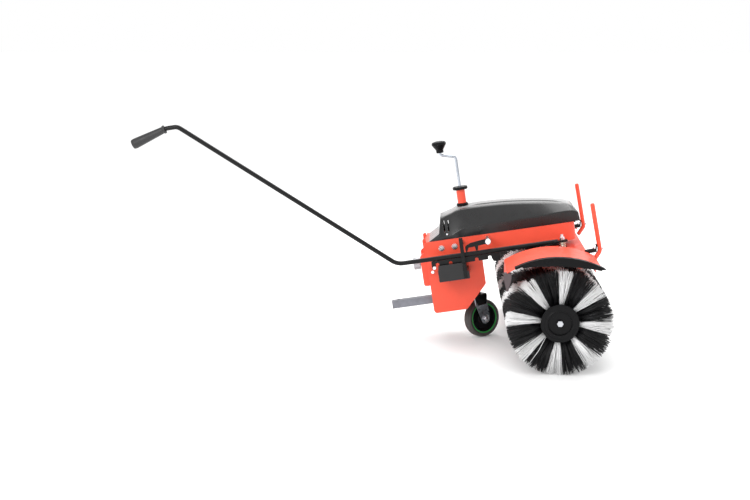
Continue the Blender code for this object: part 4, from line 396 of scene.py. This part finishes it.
# each finish: the record's slot, colour, roughness and what else it has
finishes, slots = {}, {}
for name, slot, colour, roughness, more in (
        ("redPaint", "red_paint", (0.93, 0.098, 0.052), 0.34,
         dict(grain=0.00006, grainScale=520, mottle=0.05, specular=0.34, wear=0.55, rubbed=(0.42, 0.20, 0.17))),
        ("coverPlastic", "black_plastic", (0.005, 0.005, 0.0055), 0.30,
         dict(grain=0.00003, grainScale=1500, mottle=0.12, specular=0.45, sheen=1.0, coat=0.12, wear=0.5,
              rubbed=(0.05, 0.05, 0.052))),
        ("blockPlastic", "black_plastic", (0.012, 0.012, 0.013), 0.36,
         dict(grain=0.00005, grainScale=1500, mottle=0.12, specular=0.4, wear=0.5, rubbed=(0.06, 0.06, 0.06))),
        ("blackPlastic", "black_plastic", (0.005, 0.005, 0.0055), 0.30,
         dict(grain=0.00004, grainScale=1300, mottle=0.12, specular=0.12, wear=0.5, rubbed=(0.05, 0.05, 0.05))),
        ("gripRubber", "rubber", (0.020, 0.020, 0.021), 0.50,
         dict(grain=0.00012, grainScale=520, mottle=0.12, wear=0.5, rubbed=(0.07, 0.07, 0.07))),
        ("tyreRubber", "rubber", (0.052, 0.046, 0.044), 0.66,
         dict(grain=0.0001, grainScale=900, mottle=0.2, wear=0.5, rubbed=(0.11, 0.10, 0.095))),
        ("blackPaint", "black_paint", (0.006, 0.006, 0.0065), 0.34,
         dict(grain=0.00004, grainScale=700, mottle=0.15, specular=0.22, wear=0.6, rubbed=(0.10, 0.10, 0.105))),
        ("zinc", "zinc", (0.86, 0.87, 0.90), 0.26, dict(metallic=1.0, grain=0.00003, grainScale=600, mottle=0.06)),
        ("bareZinc", "zinc", (0.20, 0.205, 0.23), 0.34,
         dict(metallic=1.0, grain=0.00005, grainScale=500, mottle=0.18, mottleScale=30)),
        ("goldZinc", "zinc", (0.82, 0.76, 0.62), 0.28, dict(metallic=1.0, mottle=0.1, mottleScale=80)),
        ("forkZinc", "zinc", (0.40, 0.43, 0.47), 0.30,
         dict(metallic=1.0, grain=0.00004, grainScale=500, mottle=0.18, mottleScale=30)),
        ("chrome", "chrome", (0.44, 0.47, 0.52), 0.14,
         dict(metallic=1.0, mottle=0.25, mottleScale=40, roughSpread=0.04)),
        ("dullZinc", "zinc", (0.52, 0.53, 0.56), 0.34,
         dict(metallic=1.0, grain=0.00003, grainScale=600, mottle=0.1)),
        ("steel", "steel", (0.42, 0.42, 0.44), 0.38,
         dict(metallic=1.0, grain=0.00005, grainScale=300, mottle=0.10)),
        ("castIron", "cast_iron", (0.030, 0.030, 0.033), 0.55, dict(grain=0.00025, grainScale=420, mottle=0.15)),
        ("beltRubber", "rubber", (0.015, 0.015, 0.015), 0.60, dict(grain=0.0001, grainScale=900, mottle=0.12)),
        ("flapRubber", "rubber", (0.085, 0.062, 0.066), 0.60, dict(grain=0.0001, grainScale=700, mottle=0.15)),
        ("blackStrand", "black_bristle", (0.008, 0.008, 0.009), 0.40,
         dict(mottle=0.30, mottleScale=60, specular=0.35)),
        ("whiteStrand", "black_bristle", (0.98, 0.98, 0.985), 0.40, dict(mottle=0.02, mottleScale=60, sheen=1.0)),
        ("greenRing", "rubber", (0.03, 0.30, 0.06), 0.36, dict(mottle=0.10))):
    finishes[name], slots[name] = finishOf(name, colour, roughness, **more), slot
print("finishes made:", len(finishes))


def settle(piece, finish, body, *replaced):
    # gives a piece its finish, its body and the solids that it stands for
    piece.data.materials.append(finishes[finish])
    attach(piece, body)
    if replaced:
        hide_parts(*replaced)
    return piece


# Brush: two halves of tufts in twisted rows, one row in three white, and the sleeve that holds them
brush = {
    "radius": 0.1747, "floorGap": 0.0006, "sleeve": 0.0600, "sleeveBore": 0.0163, "halfLength": 0.458,
    "gap": 0.084, "round": 24, "rows": 7, "twist": radians(75), "phase": radians(83), "whiteEvery": 3,
    "bundlesRound": 2, "bundlesAlong": 3, "stagger": 0.25, "strandsBlack": 20, "strandsWhite": 23,
    "strandRadius": 0.00105, "taper": (1.0, 0.95, 0.8), "rootDepth": 0.004, "rootSpread": 0.0042,
    "tipSpread": 0.0122, "spreadAlong": 0.82, "lean": 0.0036, "ragged": 0.011, "raggedPower": 2.2, "bend": 0.0022,
    "stray": 0.0022, "wildShare": 0.11, "wildMore": 3.2, "endFlare": 0.0125, "endMargin": 0.0012, "seed": 5,
}


def strands(name, side, white):
    # Every strand runs from its bundle's hole in the sleeve to a fanned-out tip, t going from 0 to 1. Its radius is
    # root + (length - root)*t and its angle phase + share*2pi/round + twist*(place along)/halfLength +
    # sideways/radius. It is bent off its line by the parabola 4t(1-t), and has three rings of three points.
    rng = np.random.default_rng([brush["seed"], side > 0, white])
    pitch = brush["halfLength"] / brush["rows"]
    columns = np.array([k for k in range(brush["round"]) if (k % brush["whiteEvery"] == 0) == white])
    count = brush["strandsWhite" if white else "strandsBlack"]
    column, row, around, along = np.meshgrid(columns, np.arange(brush["rows"]), np.arange(brush["bundlesRound"]),
                                             np.arange(brush["bundlesAlong"]), indexing="ij")
    lean = rng.normal(0, brush["lean"], column.size).repeat(count)[:, None]
    column, row, around, along = (a.ravel().repeat(count) for a in (column, row, around, along))
    total = len(column)
    share = column + (around + 0.5) / brush["bundlesRound"] - 0.5
    stagger = (around - 0.5) * brush["stagger"]
    centre = ((row + (along + 0.5 + stagger) / brush["bundlesAlong"]) * pitch)[:, None]
    spin, out = rng.uniform(0, 2 * pi, total), np.sqrt(rng.uniform(0, 1, total))
    offRound, offAlong = (out * np.cos(spin))[:, None], (out * np.sin(spin))[:, None]
    # a share of the strands leaves its bundle further than the rest
    wild = 1 + brush["wildMore"] * (rng.uniform(0, 1, (total, 1)) > 1 - brush["wildShare"])
    stray = rng.normal(0, 1, (total, 2)) * brush["stray"] * wild
    length = brush["radius"] - brush["ragged"] * rng.uniform(0, 1, total) ** brush["raggedPower"]
    bend = rng.normal(0, 1, (total, 2)) * brush["bend"]

    t = np.array([0.0, 0.5, 1.0])
    root = brush["sleeve"] - brush["rootDepth"]
    reach = root + (length[:, None] - root) * t
    fan = brush["rootSpread"] * (1 - t) + brush["tipSpread"] * t ** 0.9
    bow = 4 * t * (1 - t)
    sideways = offRound * fan + (stray[:, :1] + lean) * t + bend[:, :1] * bow
    outermost = ((row == brush["rows"] - 1) & (along == brush["bundlesAlong"] - 1))[:, None]
    flare = brush["endFlare"] * t ** 1.5
    spread = offAlong * fan * brush["spreadAlong"]
    lengthways = centre + outermost * flare + spread + stray[:, 1:] * t + bend[:, 1:] * bow
    margin = brush["endMargin"]
    lengthways = np.clip(lengthways, margin, brush["halfLength"] - margin + flare)
    y = side * (brush["gap"] / 2 + lengthways)
    end = brush["gap"] / 2 + brush["halfLength"]
    angle = brush["phase"] + (share * 2 * pi / brush["round"])[:, None]
    angle = angle + brush["twist"] * (side * (brush["gap"] / 2 + centre) + end) / brush["halfLength"]
    angle = angle + sideways / np.maximum(reach, brush["sleeve"] * 1.3)
    line = np.stack([reach * np.cos(angle), y, reach * np.sin(angle)], -1)
    low = brush["floorGap"] - brushAxis[2]
    line[..., 2] = np.maximum(line[..., 2], low + brush["strandRadius"])

    roll = rng.uniform(0, 2 * pi, total)[:, None, None] + np.arange(3) * 2 * pi / 3
    tangent = np.stack([-np.sin(angle[:, :1]), np.zeros((total, 1)), np.cos(angle[:, :1])], -1)[:, :, None]
    thick = brush["strandRadius"] * np.array(brush["taper"])[None, :, None, None]
    ring = thick * (tangent * np.cos(roll)[..., None] + acrossMachine * np.sin(roll)[..., None])
    points = (line[:, :, None] + ring + brushAxis).reshape(-1, 3)
    points[:, 2] = np.maximum(points[:, 2], brush["floorGap"])
    base = (np.arange(total) * 9)[:, None]
    sides = (base[:, :, None] + np.array(gridFaces(3, 3, False, True))).reshape(-1, 4).tolist()
    ends = (base[:, :, None] + np.array([[2, 1, 0], [6, 7, 8]])).reshape(-1, 3).tolist()
    return meshOf(name, points, sides + ends, sharp=180)


for side, half in ((-1, "right"), (1, "left")):
    settle(strands("blackStrands_" + half, side, False), "blackStrand", "brush", "bristles_" + half)
    settle(strands("whiteStrands_" + half, side, True), "whiteStrand", "brush")
    start, end = brush["gap"] / 2, brush["gap"] / 2 + brush["halfLength"]
    bore, sleeve = brush["sleeveBore"], brush["sleeve"]
    profile = roundedProfile([(bore, start), (sleeve, start), (sleeve, end), (bore, end)], (0.002, 0.002))
    sleeve = lathe("brushSleeve_" + half, profile * (1, side), brushAxis, acrossMachine, 72)
    settle(sleeve, "blackPlastic", "brush")
print("brush made")

# Hub discs, each with a raised rim, a raised ring and a deep dish round the bolt
hub = {"inner": 0.5003, "thick": 0.010, "radius": 0.063, "rim": 0.009, "groove": 0.003, "grooveDepth": 0.0012,
       "dish": 0.041, "ring": 0.003, "dishSlope": 0.002, "recess": 0.0084, "bore": 0.0063,
       "rounds": (0.001, 0.0012, 0.002, 0.0012, 0.001, 0.001, 0.001, 0.0015), "boltEdge": 0.0012}
for side, half in ((-1, "right"), (1, "left")):
    r, a, b = hub["radius"], hub["inner"], hub["inner"] + hub["thick"]
    rim, dish, low = r - hub["rim"], hub["dish"] - 0.001, b - hub["grooveDepth"]
    corners = [(hub["bore"], a), (r, a), (r, b - hub["grooveDepth"] / 2), (rim, b), (rim - hub["groove"], low),
               (dish + hub["ring"] + 0.002, low), (dish + hub["ring"], b), (dish, b),
               (dish - hub["dishSlope"], b - hub["recess"]), (hub["bore"], b - hub["recess"])]
    profile = roundedProfile(corners, hub["rounds"]) * (1, side)
    disc = lathe("hubDisc_" + half, profile, brushAxis, acrossMachine, 96)
    settle(disc, "blackPlastic", "brush", "hub_disc_" + half)
    bolt = softened("end_bolt_" + half, "endBolt_" + half, hub["boltEdge"])
    settle(bolt, "dullZinc", "brush", "end_bolt_" + half)
print("hub discs made")

# Pieces kept with rounded edges
keptShapes = {
    "chassis": {"redPaint": ("main_beam", "side_plate_right", "side_plate_left", "rear_flange", "swivel_plate"),
                "blackPlastic": ("height_disc",), "blockPlastic": ("index_block",), "bareZinc": ("coupling_bar",),
                "blackPaint": ("guide_strap", "index_pin"), "castIron": ("input_housing",),
                "zinc": ("pawl_stud", "beam_bolt_front", "beam_bolt_rear")},
    "head": {"castIron": ("gearbox_housing",), "zinc": ("swivel_ring", "stay_bolt_right", "stay_bolt_left"),
             "redPaint": ("head_crossbar", "rod_bracket", "hood_right", "hood_left"),
             "blackPaint": ("brace_right", "brace_left"), "blackPlastic": ("hood_trim_right", "hood_trim_left"),
             "flapRubber": ("rear_flap_right", "rear_flap_left")},
    "control_rod": {"blackPaint": ("index_comb",)},
    "pawl": {"blackPaint": ("hold_down_pawl",)},
    "caster": {"blackPaint": ("caster_yoke",), "forkZinc": ("caster_fork",), "zinc": ("caster_axle",)},
    "rod_stud": {"zinc": ("rod_stud",)},
}
for body, groups in keptShapes.items():
    for finish, names in groups.items():
        for node in names:
            first, *rest = node.split("_")
            settle(softened(node, first + "".join(word.capitalize() for word in rest)), finish, body, node)

# Solids that stay as they are and only get a finish
keptFinish = {
    "beltRubber": ("drive_belt",), "steel": ("brush_shaft", "worm_shaft", "input_shaft"),
    "castIron": ("front_pulley", "rear_pulley"), "blackPaint": ("caster_post",),
}
for finish, names in keptFinish.items():
    for node in names:
        for slot in nodes[node].material_slots:
            slot.material = finishes[finish]
print("kept shapes dressed")

# Belt cover: a moulded shell through stations of its foot, crease and top edge, each (along the beam, above it)
cover = {
    "beamTop": 0.430, "wall": 0.0032, "rows": 57, "floor": 0.0008,
    "footHalf": 0.101, "creaseHalf": 0.1028, "topHalf": 0.062, "corners": (0.0030, 0.0085, 0.0012, 0.0012),
    "crown": (0.0012, 0.0014), "ribHalf": 0.030, "ribSlope": 0.004, "ribRise": 0.0032,
    "ribEnds": (-0.205, -0.180, 0.085, 0.125), "endRound": 0.0055, "endSteps": 4, "endMiddle": 0.62,
    "foot": ((-0.3715, 0.0008), (-0.340, 0.0008), (-0.293, 0.0008), (-0.236, 0.0008), (-0.097, 0.0008),
             (0.024, 0.0008), (0.102, 0.0008), (0.145, 0.0008), (0.1675, 0.0008)),
    "crease": ((-0.3325, 0.0240), (-0.318, 0.0110), (-0.290, 0.0120), (-0.236, 0.0310), (-0.097, 0.0370),
               (0.024, 0.0370), (0.102, 0.0410), (0.142, 0.0400), (0.1640, 0.0320)),
    "top": ((-0.3220, 0.0730), (-0.308, 0.0775), (-0.279, 0.0860), (-0.236, 0.0965), (-0.097, 0.0935),
            (0.024, 0.0805), (0.102, 0.0665), (0.134, 0.0590), (0.1535, 0.0480)),
    "vents": (-0.311, -0.296), "ventWidth": 0.0052, "ventLow": 0.026, "ventHigh": 0.064,
    "tubeAt": -0.236, "tubeHole": 0.0166, "cutFrom": 0.05, "cutLength": 0.08,
    "screwAt": -0.3035, "screwUp": 0.0185, "screwSunk": 0.0015, "screwRadius": 0.0034,
    "screwHead": (0.0030, 0.0038),
}


def coverRows():
    # The cover's outside, from right foot to left foot at each row. The rib on top rises by s*s*(3-2s), s going
    # from 0 to 1 over each end of it. The two end edges are quarter rounds: ahead*(1-sin) + inward*(1-cos).
    foot, crease, top = (smoothRows(cover[level], cover["rows"]) for level in ("foot", "crease", "top"))
    a, b, c, d = cover["ribEnds"]
    u = top[:, 0]
    fade = np.clip((u - a) / (b - a), 0, 1) * np.clip((d - u) / (d - c), 0, 1)
    rise = cover["ribRise"] * fade ** 2 * (3 - 2 * fade)
    beside, crown = cover["crown"]
    levels = [(foot, cover["footHalf"], 0), (crease, cover["creaseHalf"], 0), (top, cover["topHalf"], 0),
              (top, cover["ribHalf"] + cover["ribSlope"], beside), (top, cover["ribHalf"], crown + rise)]
    right = [np.stack([line[:, 0], np.full(len(u), -half), line[:, 1] + more], -1)
             for line, half, more in levels]
    corners = np.stack(right + [point * (1, -1, 1) for point in right[::-1]], 1)
    rows = softCorners(corners, cover["corners"] + cover["corners"][::-1])
    rows[..., 2] += cover["beamTop"]
    made = []
    for end, after in ((0, 1), (-1, -2)):
        ahead = rows[after] - rows[end]
        ahead /= np.linalg.norm(ahead, axis=-1, keepdims=True)
        middle = rows[end] * (1, 0, 1)
        middle[:, 2] = cover["beamTop"] + (rows[end][:, 2] - cover["beamTop"]) * cover["endMiddle"]
        inward = middle - rows[end]
        inward[:, 0] = 0
        inward[[0, -1], 2] = 0
        inward /= np.maximum(np.linalg.norm(inward, axis=-1, keepdims=True), 1e-9)
        turn = np.linspace(0, pi / 2, cover["endSteps"] + 1)[:, None, None]
        made.append(rows[end] + cover["endRound"] * (ahead * (1 - np.sin(turn)) + inward * (1 - np.cos(turn))))
    return np.concatenate([made[0][::-1], rows[1:-1], made[1]])


shell = shellMesh("beltCover", coverRows(), cover["wall"], cover["beamTop"] + cover["floor"])
side, wide = cover["creaseHalf"] + 0.01, cover["ventWidth"] / 2
low, high = cover["beamTop"] + cover["ventLow"], cover["beamTop"] + cover["ventHigh"]
cutters = [slabMesh("ventCut", (at - wide, -side, low), (at + wide, side, high)) for at in cover["vents"]]
foot = beamPoint(cover["tubeAt"], 0, cover["beamTop"] + cover["cutFrom"])
r, long = cover["tubeHole"], cover["cutLength"]
cutters.append(lathe("tubeCut", [(0, 0), (r, 0), (r, long), (0, long)], foot, beamUp, 48))
settle(cutBy(shell, cutters), "coverPlastic", "chassis", "belt_cover")
for side, half in ((-1, "right"), (1, "left")):
    out = side * (cover["creaseHalf"] - cover["screwSunk"])
    seat = beamPoint(cover["screwAt"], out, cover["beamTop"] + cover["screwUp"])
    r, (shoulder, crown) = cover["screwRadius"], cover["screwHead"]
    head = roundedProfile([(0, 0), (r, 0), (r, shoulder), (0, crown)], (0.0002, 0.001))
    settle(lathe("coverScrew_" + half, head, seat, acrossMachine * side, 20), "zinc", "chassis")
print("belt cover made")

# Guide tube of the caster's post, and its collar
tube = {
    "at": -0.236, "radius": 0.0155, "wall": 0.003, "low": 0.262, "top": 0.588, "edges": (0.0004, 0.0006),
    "collarLow": 0.5283, "collarHeight": 0.011, "collar": 0.021, "collarFit": 0.0003,
    "collarSlope": (0.003, 0.004), "collarEdges": (0.0003, 0.001, 0.002, 0.0015, 0.0003),
}
foot = beamPoint(tube["at"], 0, 0)
r, bore, low, high = tube["radius"], tube["radius"] - tube["wall"], tube["low"], tube["top"]
corners = [(bore, low + 0.001), (bore, low), (r, low), (r, high), (bore, high)]
profile = ringProfile(corners, tube["edges"] + tube["edges"][::-1])
settle(lathe("guideTube", profile, foot, beamUp, 64), "redPaint", "chassis", "guide_tube")
bore, r, (inward, down) = r + tube["collarFit"], tube["collar"], tube["collarSlope"]
low, high = tube["collarLow"], tube["collarLow"] + tube["collarHeight"]
corners = [(bore, low + 0.001), (bore, low), (r, low), (r, high - down), (r - inward, high), (bore, high)]
profile = ringProfile(corners, tube["collarEdges"])
settle(lathe("tubeCollar", profile, foot, beamUp, 64), "blackPlastic", "chassis", "tube_collar")

# Crank: a threaded spindle bent twice, with a flared knob whose profile is given as (radius, height)
crank = {
    "radius": 0.005, "bottom": 0.330, "bend": 0.707, "throw": 0.053, "rise": 0.013, "bends": (0.010, 0.008),
    "gap": 0.009, "knob": 0.042, "inKnob": 0.75, "hollow": ((0, 0.0323), (0.0055, 0.0323)),
    "profile": ((0.0055, 0.004), (0.0055, 0), (0.0130, 0), (0.0136, 0.011), (0.0205, 0.021), (0.026, 0.0300),
                (0.026, 0.0345), (0.0230, 0.0395), (0.0130, 0.042), (0, 0.042)),
    "rounds": (0.0008, 0.0015, 0.010, 0.006, 0.0025, 0.003, 0.004, 0.006),
}
post, handle, low = tube["at"], tube["at"] - crank["throw"], crank["bend"] + crank["rise"]
corners = [(post, 0, crank["bottom"]), (post, 0, crank["bend"]), (handle, 0, low),
           (handle, 0, low + crank["gap"] + crank["knob"] * crank["inKnob"])]
path = beamPoint(*bentPath(corners, crank["bends"], 10).T)
settle(barMesh("crankRod", path, crank["radius"], acrossMachine, 32), "chrome", "crank", "crank_rod")
profile = np.vstack([crank["hollow"], roundedProfile(crank["profile"], crank["rounds"], 5)])
knob = lathe("crankKnob", profile, beamPoint(handle, 0, low + crank["gap"]), beamUp, 64)
settle(knob, "blackPlastic", "crank_knob", "crank_knob")
print("crank made")

# Control rod with its eye and its grip: its places are (along the beam, square to it), in the rod's own plane
rod = {
    "side": -0.185, "height": 0.383, "radius": 0.008, "start": 0.074, "lowBend": -0.490,
    "topBend": (-1.173, 0.972), "gripStart": (-1.212, 0.972), "gripEnd": (-1.342, 0.933),
    "bends": (0.060, 0.030, 0.030), "slip": 0.006, "bore": 0.106, "eyeAt": 0.090, "hole": 0.0062, "tab": 0.006,
    "tabHalf": 0.013, "tabFront": 0.018, "tabRear": 0.030, "tabEdge": 0.0008, "tabFlat": 0.72, "endGap": 0.0012,
    "gripLength": 0.1297,
    "grip": ((0, 0.1065), (0.0083, 0.1065), (0.0083, 0), (0.0150, 0), (0.0150, 0.005), (0.0122, 0.0085),
             (0.0160, 0.078), (0.0180, 0.118), (0.0165, 0.1285), (0.0060, 0.1297), (0, 0.1297)),
    "gripRounds": (0.0003, 0.0004, 0.0012, 0.0012, 0.003, 0.03, 0.004, 0.004, 0.002),
}


def rodPlace(along, height):
    # a place in the rod's plane, as a point beside the beam
    return np.array([along, rod["side"], height])


gripStart, gripEnd = rodPlace(*rod["gripStart"]), rodPlace(*rod["gripEnd"])
gripWay = (gripEnd - gripStart) / np.linalg.norm(gripEnd - gripStart)
corners = [rodPlace(rod["start"], rod["height"]), rodPlace(rod["lowBend"], rod["height"]),
           rodPlace(*rod["topBend"]), gripStart, gripStart + gripWay * (rod["slip"] + rod["bore"])]
path = beamPoint(*bentPath(corners, rod["bends"], 16).T)
settle(barMesh("controlRod", path, rod["radius"], acrossMachine, 32), "blackPaint", "control_rod", "control_rod")

# the eye's outline is a superellipse: 1 over the fifth root of (|cos|/reach)^5 + (|sin|/half)^5
turn = np.linspace(0, 2 * pi, 72, endpoint=False)
reach = np.where(np.cos(turn) > 0, rod["tabFront"], rod["tabRear"])
outline = ((np.abs(np.cos(turn)) / reach) ** 5 + (np.abs(np.sin(turn)) / rod["tabHalf"]) ** 5) ** -0.2
hole, eased, flat, rings = rod["hole"], outline - rod["tabEdge"], rod["tabFlat"], []
for radius, level in ((hole, -1), (eased, -1), (outline, -flat), (outline, flat), (eased, 1), (hole, 1)):
    rings.append(beamPoint(rod["eyeAt"] + radius * np.cos(turn), rod["side"] + radius * np.sin(turn),
                           rod["height"] + level * rod["tab"] / 2))
settle(tubeMesh("rodEye", np.stack(rings), closed=True), "blackPaint", "control_rod")

profile = roundedProfile(rod["grip"], rod["gripRounds"], 5)
length = np.linalg.norm(gripEnd - gripStart) - rod["slip"] - rod["endGap"]
profile[:, 1] *= length / rod["gripLength"]
gripFoot = gripStart + gripWay * rod["slip"]
origin, tip = beamPoint(*gripFoot), beamPoint(*(gripFoot + gripWay))
grip = lathe("rodGrip", profile, origin, tip - origin, 64, 30, (0, 1, 0))
settle(grip, "gripRubber", "control_rod", "rod_grip")
print("control rod made")

# Stays of the head, round bars with eased ends
stay = {"side": 0.262, "radius": 0.0075, "top": (0.120, 0.535), "knee": (0.1513, 0.372), "foot": (0.131, 0.339),
        "bend": 0.020, "ease": 0.003}
for side, half in ((-1, "right"), (1, "left")):
    corners = [(stay[at][0], side * stay["side"], stay[at][1]) for at in ("top", "knee", "foot")]
    path = levelPoint(*bentPath(corners, (stay["bend"],), 10).T)
    bar = barMesh("stay_bar_" + half, path, stay["radius"], acrossMachine, 32, stay["ease"])
    settle(bar, "redPaint", "head", "stay_" + half)

# Spring on the rod's stud: its height grows slowly over the first and last curl, which lie closed
spring = {"at": 0.090, "side": -0.185, "low": 0.3545, "high": 0.3777, "radius": 0.0088, "wire": 0.0013,
          "curls": 5.0, "closed": 0.13, "steps": 150, "sides": 10}
turn = np.linspace(0, spring["curls"] * 2 * pi, spring["steps"])
bends = (0, 2 * pi, turn[-1] - 2 * pi, turn[-1])
height = np.interp(turn, bends, (0.0, spring["closed"], 1 - spring["closed"], 1.0))
centre = beamPoint(spring["at"], spring["side"], spring["low"] + height * (spring["high"] - spring["low"]))
outward = beamAhead * np.cos(turn)[:, None] + acrossMachine * np.sin(turn)[:, None]
roll = np.linspace(0, 2 * pi, spring["sides"], endpoint=False)
spokes = outward[:, None] * np.cos(roll)[:, None] + beamUp * np.sin(roll)[:, None]
coil = (centre + outward * spring["radius"])[:, None] + spokes * spring["wire"]
settle(tubeMesh("studSpring", coil), "goldZinc", "rod_stud", "stud_spring")

# Caster wheel: tyre, coloured ring and rim, turned about the wheel's own axis. The tyre's profile is given for one
# side of it, as (radius, distance in from the side).
wheel = {
    "half": 0.020, "tyre": ((0.0552, 0.004), (0.0590, 0.0012), (0.0635, 0), (0.0672, 0.0045), (0.069, 0.0095)),
    "tyreRounds": (0.0008, 0.002, 0.003, 0.004, 0.006), "seat": 0.0552,
    "ring": 0.0508, "ringFit": 0.0003, "ringHalf": (0.0170, 0.0178), "ringEdge": 0.0006,
    "rim": 0.0505, "rimHalf": (0.0150, 0.0162), "flange": (0.009, 0.004), "web": 0.004, "fillet": (0.006, 0.003),
    "hub": 0.015, "hubHalf": 0.0216, "bore": 0.0065, "rimRounds": (0.001, 0.002, 0.002, 0.003, 0.003, 0.001),
    "cheek": 0.0262, "washer": (0.0104, 0.0150), "washerEnds": (0.0002, 0.0016),
}
half = [(radius, inset - wheel["half"]) for radius, inset in wheel["tyre"]]
corners = [(wheel["seat"], 0)] + half + [(radius, -along) for radius, along in half[::-1]]
profile = ringProfile(corners, wheel["tyreRounds"] + wheel["tyreRounds"][::-1])
settle(lathe("casterTyre", profile, wheelCentre, wheelAxis, 96), "tyreRubber", "caster_wheel", "caster_tyre")
a, b, (near, far) = wheel["ring"], wheel["seat"] - wheel["ringFit"], wheel["ringHalf"]
profile = ringProfile([(a, 0), (a, -near), (b, -far), (b, far), (a, near)], (wheel["ringEdge"],) * 4)
settle(lathe("casterRing", profile, wheelCentre, wheelAxis, 96), "greenRing", "caster_wheel")
rim, web, hubRound, long = wheel["rim"], wheel["web"], wheel["hub"], wheel["hubHalf"]
(wide, deep), (low, high), (near, far) = wheel["flange"], wheel["fillet"], wheel["rimHalf"]
half = [(wheel["bore"], -long), (hubRound, -long), (hubRound, -web - high), (hubRound + low, -web),
        (rim - wide, -web), (rim - deep, -near), (rim, -far)]
rounds = wheel["rimRounds"] + wheel["rimRounds"][::-1] + (0,)
profile = ringProfile(half + [(radius, -along) for radius, along in half[::-1]], rounds)
settle(lathe("casterRim", profile, wheelCentre, wheelAxis, 96), "blackPlastic", "caster_wheel", "caster_rim")
for side, half in ((-1, "near"), (1, "far")):
    (inner, outer), (low, high) = wheel["washer"], (wheel["cheek"] + gap for gap in wheel["washerEnds"])
    profile = [(inner, low), (outer, low), (outer, high), (inner, high)]
    settle(lathe("axleWasher_" + half, profile, wheelCentre, wheelAxis * side, 48), "zinc", "caster")
print("caster wheel made")

# Small bolt heads and washers: place along the beam, across it and square to it, bore, radius, height, sides, body
smallHeads = {
    "comb": (-0.3625, -0.1884, 0.3515, 0, 0.0068, 0.0042, 6, "control_rod"),
    "plate": (-0.3742, -0.0963, 0.3194, 0, 0.0060, 0.0030, 40, "chassis"),
    "beamFront": (-0.284, -0.1003, 0.401, 0.0078, 0.0104, 0.0016, 40, "chassis"),
    "beamRear": (-0.331, -0.1003, 0.401, 0.0078, 0.0104, 0.0016, 40, "chassis"),
}
for name, (u, y, w, bore, radius, height, sides, body) in smallHeads.items():
    profile = [(bore, 0), (radius, 0), (radius, height * 0.75), (radius - height * 0.25, height), (bore, height)]
    settle(lathe("head_" + name, profile, beamPoint(u, y, w), -acrossMachine, sides, 25), "zinc", body)
print("small heads made")


# Floor, light and camera. Each lamp: its place, what it is aimed at, its size and its power.
studio = {
    "sky": 1.08, "floorShade": 0.90, "floorLift": 0.12, "floorReach": 40.0,
    "lamps": {"overhead": ((0.2, 1.1, 3.1), (0.3, 0, 0.3), (2.6, 2.6), 64.0),
              "front": ((-1.8, -3.2, 2.2), (0.4, 0, 0.3), (1.6, 1.6), 57.0),
              "rim": ((2.6, 1.6, 1.8), (0.4, 0, 0.3), (1.2, 1.6), 14.0)},
    "cameraAt": (-0.3786, -4.5176, 1.1455), "down": radians(10.35), "round": radians(3.2),
    "lens": 60.43, "sensor": 36,
}


def lightSplit(tree, seen, hidden, output):
    # one strength for what the camera, a mirror or a glass sees and another for the light that falls on things
    path = added(tree, "LightPath", {})
    both = {0: path.outputs["Is Camera Ray"], 1: path.outputs["Is Glossy Ray"]}
    every = {0: added(tree, "Math", both, operation="MAXIMUM").outputs[0], 1: path.outputs["Is Transmission Ray"]}
    either = added(tree, "Math", every, operation="MAXIMUM")
    choose = added(tree, "MixShader", {"Fac": either.outputs[0], 1: hidden.outputs[0], 2: seen.outputs[0]})
    added(tree, output, {"Surface": choose.outputs[0]})


def softbox(name, at, aim, size, power):
    # a rectangular lamp that points at its aim: tilted by atan2(level reach, drop) and turned by atan2(y, x) - 90
    lamp = bpy.data.lights.new(name, "AREA")
    lamp.shape = "RECTANGLE"
    lamp.size, lamp.size_y = size
    lamp.energy = power
    made = bpy.data.objects.new(name, lamp)
    bpy.context.scene.collection.objects.link(made)
    made.location = at
    way = np.array(aim, float) - np.array(at, float)
    made.rotation_euler = (atan2(hypot(way[0], way[1]), -way[2]), 0, atan2(way[1], way[0]) - pi / 2)


world = bpy.data.worlds.new("studio")
bpy.context.scene.world = world
world.use_nodes = True
tree = world.node_tree
tree.nodes.clear()
seen = added(tree, "Background", {"Color": (1, 1, 1, 1), "Strength": 1.0})
hidden = added(tree, "Background", {"Color": (1, 1, 1, 1), "Strength": studio["sky"]})
lightSplit(tree, seen, hidden, "OutputWorld")

floorMaterial = bpy.data.materials.new("paleFloor")
floorMaterial.use_nodes = True
tree = floorMaterial.node_tree
tree.nodes.clear()
base = added(tree, "BsdfDiffuse", {"Color": (studio["floorShade"],) * 3 + (1,)})
glow = added(tree, "Emission", {"Strength": studio["floorLift"]})
lit = added(tree, "AddShader", {0: base.outputs[0], 1: glow.outputs[0]})
lightSplit(tree, lit, base, "OutputMaterial")
far = studio["floorReach"]
floor = meshOf("floor", [(-far, -far, 0), (far, -far, 0), (far, far, 0), (-far, far, 0)], [[0, 1, 2, 3]])
floor.data.materials.append(floorMaterial)

for name, lamp in studio["lamps"].items():
    softbox(name, *lamp)
lens = bpy.data.cameras.new("view")
lens.sensor_width, lens.lens = studio["sensor"], studio["lens"]
camera = bpy.data.objects.new("view", lens)
bpy.context.scene.collection.objects.link(camera)
camera.location = np.array(studio["cameraAt"]) + (machineX, 0, 0)
camera.rotation_euler = (pi / 2 - studio["down"], 0, studio["round"])
bpy.context.scene.camera = camera
bpy.context.scene.view_settings.view_transform = "Standard"
print("studio made")
